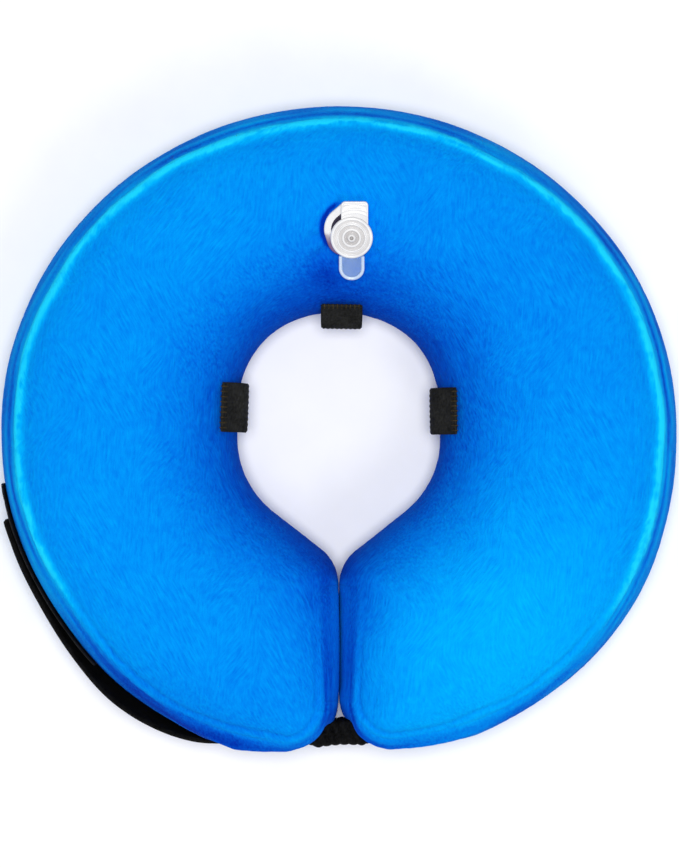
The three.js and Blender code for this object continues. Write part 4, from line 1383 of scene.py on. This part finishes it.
def collar_loop(name, angle, width, stand, reach):
    """A tape loop on the wall of the neck hole, sewn down at both ends just over the edge."""
    point, into, aside = loop_frame(angle)
    line = loop_line(angle, width, stand, reach)
    flat_normal = line_normals(line)
    if flat_normal[LOOP_POINTS // 2, 0] < 0:
        flat_normal = -flat_normal
    inwards = np.append(into, 0)
    upright = np.array([0, 0, 1.0])
    centre = np.append(point, 0) + line[:, :1] * inwards + line[:, 1:] * upright
    normal = flat_normal[:, :1] * inwards + flat_normal[:, 1:] * upright
    side = np.repeat(np.append(aside, 0)[None, :], len(line), axis=0)
    s = np.arange(len(line)) * np.linalg.norm(line[1] - line[0])
    end_gap = np.minimum(s, s[-1] - s)
    weft = 1 - LOOP_WEFT * (0.5 + 0.5 * np.cos(2 * np.pi * s / LOOP_WEFT_PITCH))
    rounded = np.sqrt(np.clip(end_gap / LOOP_ROUNDING, 0.05, 1))
    thickness = LOOP_THICKNESS * weft * (1 - swell(end_gap, *LOOP_CRUSH)) * rounded
    widths = np.full(len(line), width) * (1 + 0.01 * np.sin(s / 3.1))
    rings = tape_rings(centre, normal, side, thickness, widths, *LOOP_RIBS)
    make_tubes(name + "_tape", [rings], webbing, [name])
    stitches = end_stitches(centre, normal, side, width)
    make_tubes(name + "_stitches", stitches, thread)


def off_rim(degrees, gap, thickness):
    """Middle of a tape a gap off the rim, or off the groove's floor."""
    point, outward = edge_at(rim_line, RIM_CENTRE_Y, degrees)
    share = groove_share(point[None, :], -outward[None, :])[0]
    return point + outward * (gap + thickness / 2 - GROOVE_DEPTH * share)


def slack_line(start, end, t):
    """Bowed line between the strap's two stretches on the rim."""
    return start * (1 - t) + end * t + [0, PLEAT_BOW] * np.sin(np.pi * t)


def closure_strap():
    """The closing strap: free end, stretch along the left rim, slack in the notch, sewn end."""
    gaps = np.array([stand * STRAP_THICKNESS for _, stand in STRAP_ROUTE])
    on_rim = [
        off_rim(angle, gap, STRAP_THICKNESS) for (angle, _), gap in zip(STRAP_ROUTE, gaps)
    ]
    free_count, slack_count, sewn_count = STRAP_COUNTS
    free = smooth_line(on_rim, free_count)
    sewn = smooth_line([off_rim(a, CLEARANCE, STRAP_THICKNESS) for a in SEWN_ANGLES], sewn_count)
    slack = slack_line(free[-1], sewn[0], np.linspace(0, 1, slack_count)[1:-1, None])
    line = np.vstack([free, slack, sewn])
    s = lengths_along(line)
    end_gap = np.minimum(s, s[-1] - s)
    thickness = STRAP_THICKNESS * rounding(end_gap, STRAP_ROUNDING, 0.03)
    corner = np.clip(1 - end_gap / STRAP_CORNER, 0, 1)
    width = STRAP_WIDTH - 2 * STRAP_CORNER * (1 - np.sqrt(1 - corner ** 2))
    rings, normal = tape_on_edge(line, thickness, width, STRAP_RIBS)
    route = lengths_along(on_rim)
    free_gap = np.interp(np.linspace(0, 1, len(free)), route / route[-1], gaps)
    lean = np.zeros(len(line))
    lean[:len(free)] = np.maximum(free_gap - STRAP_LEAN_STAND, 0) / STRAP_WIDTH
    below = (rings[..., 2] - STRAP_WIDTH / 2)[..., None]
    rings = rings + lean[:, None, None] * below * -np.sign(normal[10, 0, 0]) * normal
    make_tubes("closure_strap_tape", [rings], strap_webbing, ["closure_strap"])
    strap_pleats(free[-1], sewn[0])


def pleat_section():
    """Section of the pleated block: a squarish outline, wide across the strap and flat."""
    count = PLEAT_COUNTS[1]
    angle = np.linspace(0, 2 * np.pi, 12 * count + 1)
    c, n = np.cos(angle), np.sin(angle)
    blunt, flat = PLEAT_EXPONENTS
    section = np.column_stack([np.sign(c) * np.abs(c) ** blunt, np.sign(n) * np.abs(n) ** flat])
    section = resample(section * [STRAP_WIDTH / 2, PLEAT_HALF_HEIGHT], count)[:-1]
    return section[:, 0], section[:, 1] / PLEAT_HALF_HEIGHT


def strap_pleats(start, end):
    """The strap's slack, pressed together in slanting pleats between the limbs' corners."""
    t = np.linspace(0, 1, PLEAT_COUNTS[0] + 1)
    s = t * np.linalg.norm(end - start)
    middle = slack_line(start, end, t[:, None])
    rise = smoothstep(np.minimum(t, 1 - t) / PLEAT_RISE_SHARE)[:, None]
    least = STRAP_THICKNESS * PLEAT_START
    half = least + (PLEAT_HALF_HEIGHT - least) * rise
    across, up = pleat_section()
    phase = (s[:, None] + PLEAT_LEAN * half * up - PLEAT_CURL * up ** 2) / PLEAT_PITCH
    phase = phase + PLEAT_UNEVEN * line_noise(s, 4.3, PLEAT_SEED)[:, None]
    depth = PLEAT_DEPTH * (1 - np.abs(np.sin(np.pi * phase)) ** 0.7) * rise
    width = across * (1 - 2 * depth / STRAP_WIDTH)
    height = up * (half - 0.35 * depth)
    rings = np.stack([middle[:, :1] + 0 * height, middle[:, 1:] + height, width], axis=-1)
    make_tubes("closure_strap_pleats", [rings], pleat_webbing)


def fastener_pad():
    """Loop-pile strip under the strap's free end, a little uneven."""
    angles = np.linspace(*PAD_ANGLES, 30)
    line = smooth_line([off_rim(a, CLEARANCE, PAD_THICKNESS) for a in angles], PAD_POINTS)
    s = np.arange(len(line)) * PAD_SPACING
    end_gap = np.minimum(s, s[-1] - s)
    thickness = PAD_THICKNESS * rounding(end_gap, PAD_ROUNDING, 0.05)
    width = PAD_WIDTH - 2 * PAD_CORNER * np.clip(1 - end_gap / PAD_CORNER, 0, 1) ** 2
    rings, normal = tape_on_edge(line, thickness, width, PAD_RIBS)
    pile = lattice_noise(rings[..., 0] + rings[..., 1], rings[..., 2], 0.8, 0.8, PAD_SEED)
    rings = rings + PAD_PILE * pile[..., None] * normal
    make_tubes("fastener_pad_pile", [rings], loop_pile, ["fastener_pad"])


# Valve, in a frame of its own with the cover's surface at zero

def circle_ring(radius, z):
    angle = circle_angles(VALVE_SIDES)
    return np.column_stack([
        radius * np.cos(angle), radius * np.sin(angle), np.full(VALVE_SIDES, z),
    ])


def flange_ring(inset, z):
    """Outline of the flange: a round disc drawn out towards the cap's hinge."""
    angle = circle_angles(VALVE_SIDES)
    way = np.column_stack([np.cos(angle), np.sin(angle)])
    middles = np.array([middle for middle, _ in FLANGE_DISCS])
    radii = np.array([radius for _, radius in FLANGE_DISCS])
    far = (way @ middles.T + radii).argmax(axis=1)
    flat = middles[far] + way * (radii[far] - inset)[:, None]
    flat[:, 0] -= (1 - FLANGE_SQUEEZE) * np.maximum(flat[:, 0] - FLANGE_RIGHT, 0)
    return np.column_stack([flat, np.full(VALVE_SIDES, z)])


def flange_edge(z, quarter):
    """Rings of the flange's rounded edge; quarter 0 goes out and up from below, 1 in on top."""
    rings = []
    for k in range(5):
        turn = math.pi / 2 * (k / 4 + quarter)
        inset = FLANGE_ROUNDING * (1 - math.sin(turn))
        rings.append(flange_ring(inset, z - FLANGE_ROUNDING * math.cos(turn)))
    return rings


def valve_base():
    """Stem with its bore, weld flange and the flange on the cover, with a recess in that."""
    floor = FLANGE_TOP - RECESS_DEPTH
    outside = [
        circle_ring(BORE_RADIUS, -STEM_DEPTH),
        circle_ring(STEM_RADIUS, -STEM_DEPTH),
        circle_ring(STEM_RADIUS, WELD_BOTTOM),
        circle_ring(WELD_RADIUS, WELD_BOTTOM),
        circle_ring(WELD_RADIUS, WELD_TOP),
        circle_ring(STEM_RADIUS, WELD_TOP),
        circle_ring(STEM_RADIUS, FLANGE_BOTTOM),
        *flange_edge(FLANGE_BOTTOM + FLANGE_ROUNDING, 0),
        *flange_edge(FLANGE_TOP - FLANGE_ROUNDING, 1),
    ]
    recess = [
        flange_ring(CRESCENT_WIDTH, FLANGE_TOP),
        flange_ring(CRESCENT_WIDTH + 0.1, floor),
        flange_ring(CRESCENT_WIDTH + 0.3, floor),
        circle_ring(BORE_RADIUS + 0.15, floor),
        circle_ring(BORE_RADIUS, floor - 0.1),
    ]
    rings = np.array([*outside, *recess])
    # Painted shadow in the recess under the cap, and painted shade on the flange's lower part
    recess_shadow = smoothstep((FLANGE_TOP - 0.2 - rings[..., 2]) / 0.3)
    recess_shadow[:len(outside)] = 0
    turn = np.arctan2(rings[..., 1], rings[..., 0]) % (2 * np.pi)
    low = FLANGE_LOW_SHADE * smoothstep((turn - FLANGE_LOW_START) / 0.25)
    tone = np.maximum(recess_shadow, low).ravel()
    make_tubes(
        "valve_flange", [valve_points(rings)], flange_plastic, ["valve_base"],
        closed=True, tone=tone,
    )


def cap_profile():
    """Height of the cap's face over its radius: three rings around a centre boss."""
    radius = np.linspace(CAP_RADIUS, 0, 90)
    height = np.full(len(radius), CAP_BOTTOM + CAP_THICKNESS)
    for middle, half, depth in CAP_GROOVES:
        height += depth * smoothstep((half + 0.25 - np.abs(radius - middle)) / 0.35)
    for reach, border, rise in (CAP_BOSS, CAP_HOLE):
        height += rise * smoothstep((reach - radius) / border)
    past = np.clip(radius - (CAP_RADIUS - CAP_ROUNDING), 0, CAP_ROUNDING)
    height -= CAP_ROUNDING - np.sqrt(CAP_ROUNDING ** 2 - past ** 2)
    return radius, height


def valve_cap():
    """Plug below, then the cap's underside and its face."""
    radius, height = cap_profile()
    lower = [
        circle_ring(PLUG_RADIUS - CAP_CHAMFER, -PLUG_DEPTH),
        circle_ring(PLUG_RADIUS, -PLUG_DEPTH + CAP_CHAMFER),
        circle_ring(PLUG_RADIUS, CAP_BOTTOM),
        circle_ring(CAP_RADIUS - CAP_CHAMFER, CAP_BOTTOM),
        circle_ring(CAP_RADIUS, CAP_BOTTOM + CAP_CHAMFER),
    ]
    upper = [circle_ring(max(r, 0.05), z) for r, z in zip(radius, height)]
    # Painted shade in the grooves and at the middle of the cap's face
    shades = np.interp(radius, CAP_SHADE_RADII, CAP_SHADES)
    tone = np.repeat(np.concatenate([np.zeros(len(lower)), shades]), VALVE_SIDES)
    rings = valve_points([*lower, *upper])
    make_tubes(
        "valve_cap_disc", [rings], cap_face_plastic, ["valve_cap"], tone=tone,
    )


def cap_tab(name, sizes, material, dip=0.0):
    """A flat tab from the cap's edge outwards along Y, with a raised rim and a rounded end."""
    width, reach, end_radius, plate, rim_width, rim_rise, shift = sizes
    direction = math.copysign(1, reach)
    reach, half = abs(reach), width / 2
    quarter = np.pi / 2
    across = np.sin(np.linspace(-quarter, quarter, TAB_STEPS + 1)) * half
    start = np.sqrt((CAP_RADIUS + 0.05) ** 2 - (across + shift) ** 2)
    past = np.clip(np.abs(across) - (half - end_radius), 0, end_radius)
    finish = reach - end_radius + np.sqrt(end_radius ** 2 - past ** 2)
    share = (1 - np.cos(np.linspace(0, np.pi, TAB_STEPS + 1))) / 2
    y = start[:, None] * (1 - share) + finish[:, None] * share
    x = np.repeat(across[:, None], len(share), axis=1)
    corner_x = np.abs(x) - (half - end_radius)
    corner_y = y - (reach - end_radius)
    to_round = end_radius - np.hypot(corner_x, corner_y)
    to_sides = np.minimum(half - np.abs(x), reach - y)
    to_edge = np.maximum(np.where((corner_x > 0) & (corner_y > 0), to_round, to_sides), 0)
    top = TAB_BOTTOM + plate + rim_rise * smoothstep((rim_width - to_edge) / 0.35)
    top = top - TAB_EDGE * (1 - rounding(to_edge, TAB_EDGE))
    drop = -dip * smoothstep((y - (reach - 2.2)) / 1.8)
    if dip:
        away = np.hypot(x, y)
        for rib in HINGE_RIBS:
            rise = swell(away, HINGE_RIB_HEIGHT, rib, HINGE_RIB_WIDTH)
            top = top + rise * smoothstep(to_edge / 0.8)
    upper, under = [
        valve_points(np.stack([x + shift, y * direction, height + drop], axis=-1))
        for height in (top, np.full_like(top, TAB_BOTTOM))
    ]
    make_shell(name, upper, under, material)


def pull_tab_rim():
    """Thick pale bead round the pull tab, from one side of the cap to the other."""
    half, reach, radius = BEAD_LINE
    turn = np.linspace(-np.pi / 2, np.pi / 2, 31)
    bend = np.column_stack([
        (half - radius) * np.sign(turn) + radius * np.sin(turn),
        radius - reach - radius * np.cos(turn),
    ])
    start_y = -CAP_RADIUS + 0.6
    path = resample(np.vstack([[[-half, start_y]], bend, [[half, start_y]]]), 80)
    line = np.column_stack([path, np.full(len(path), CAP_BOTTOM + BEAD_RISE)])
    angle = circle_angles(14)
    reaches = (BEAD_HALF_WIDTH * np.cos(angle))[None, :, None]
    across = line_normals(path)[:, None, :] * reaches
    upright = np.tile(BEAD_HALF_HEIGHT * np.sin(angle), (len(path), 1))[..., None]
    rings = valve_points(line[:, None, :] + np.concatenate([across, upright], axis=2))
    make_tubes("valve_pull_tab_rim", [rings], rim_plastic)


# Assembly

for piece in make_cover():
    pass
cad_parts["air_bladder"].data.materials.clear()
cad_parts["air_bladder"].data.materials.append(film)
for loop in COLLAR_LOOPS:
    collar_loop(*loop)
closure_strap()
fastener_pad()
valve_base()
valve_cap()
cap_tab("valve_hinge_tab", HINGE_TAB, cap_plastic, HINGE_TAB_DIP)
cap_tab("valve_pull_tab", PULL_TAB, tab_plastic)
pull_tab_rim()


# Floor, lights and camera

def add_to_scene(name, data):
    thing = bpy.data.objects.new(name, data)
    bpy.context.scene.collection.objects.link(thing)
    return thing


def add_floor():
    corners = [(x * FLOOR_HALF, y * FLOOR_HALF, 0) for x, y in ((-1, -1), (1, -1), (1, 1), (-1, 1))]
    mesh = bpy.data.meshes.new("floor")
    mesh.from_pydata(corners, [], [(0, 1, 2, 3)])
    mesh.materials.append(floor_material())
    add_to_scene("floor", mesh)


def add_light(name, place, size, power):
    """A round lamp that shines on the middle of the floor."""
    light = bpy.data.lights.new(name, "AREA")
    light.shape = "DISK"
    light.size = size
    light.energy = power
    lamp = add_to_scene(name, light)
    lamp.location = place
    lamp.rotation_euler = (-Vector(place)).to_track_quat("-Z", "Y").to_euler()


def add_camera():
    camera = bpy.data.cameras.new("camera")
    camera.sensor_width = SENSOR
    camera.lens = SENSOR * CAMERA_DISTANCE / (FRAME_HEIGHT * PIXEL)
    camera.clip_end = FAR_LIMIT
    eye = add_to_scene("camera", camera)
    eye.location = (ORIGIN + [*FRAME_CENTRE, CAMERA_DISTANCE]) * MM
    bpy.context.scene.camera = eye


add_floor()
for lamp in LIGHTS:
    add_light(*lamp)
add_camera()

world = bpy.data.worlds.new("world")
world.use_nodes = True
background = world.node_tree.nodes["Background"]
background.inputs["Color"].default_value = (1, 1, 1, 1)
background.inputs["Strength"].default_value = WORLD_STRENGTH
bpy.context.scene.world = world
bpy.context.scene.view_settings.view_transform = "Standard"

bpy.context.view_layer.update()
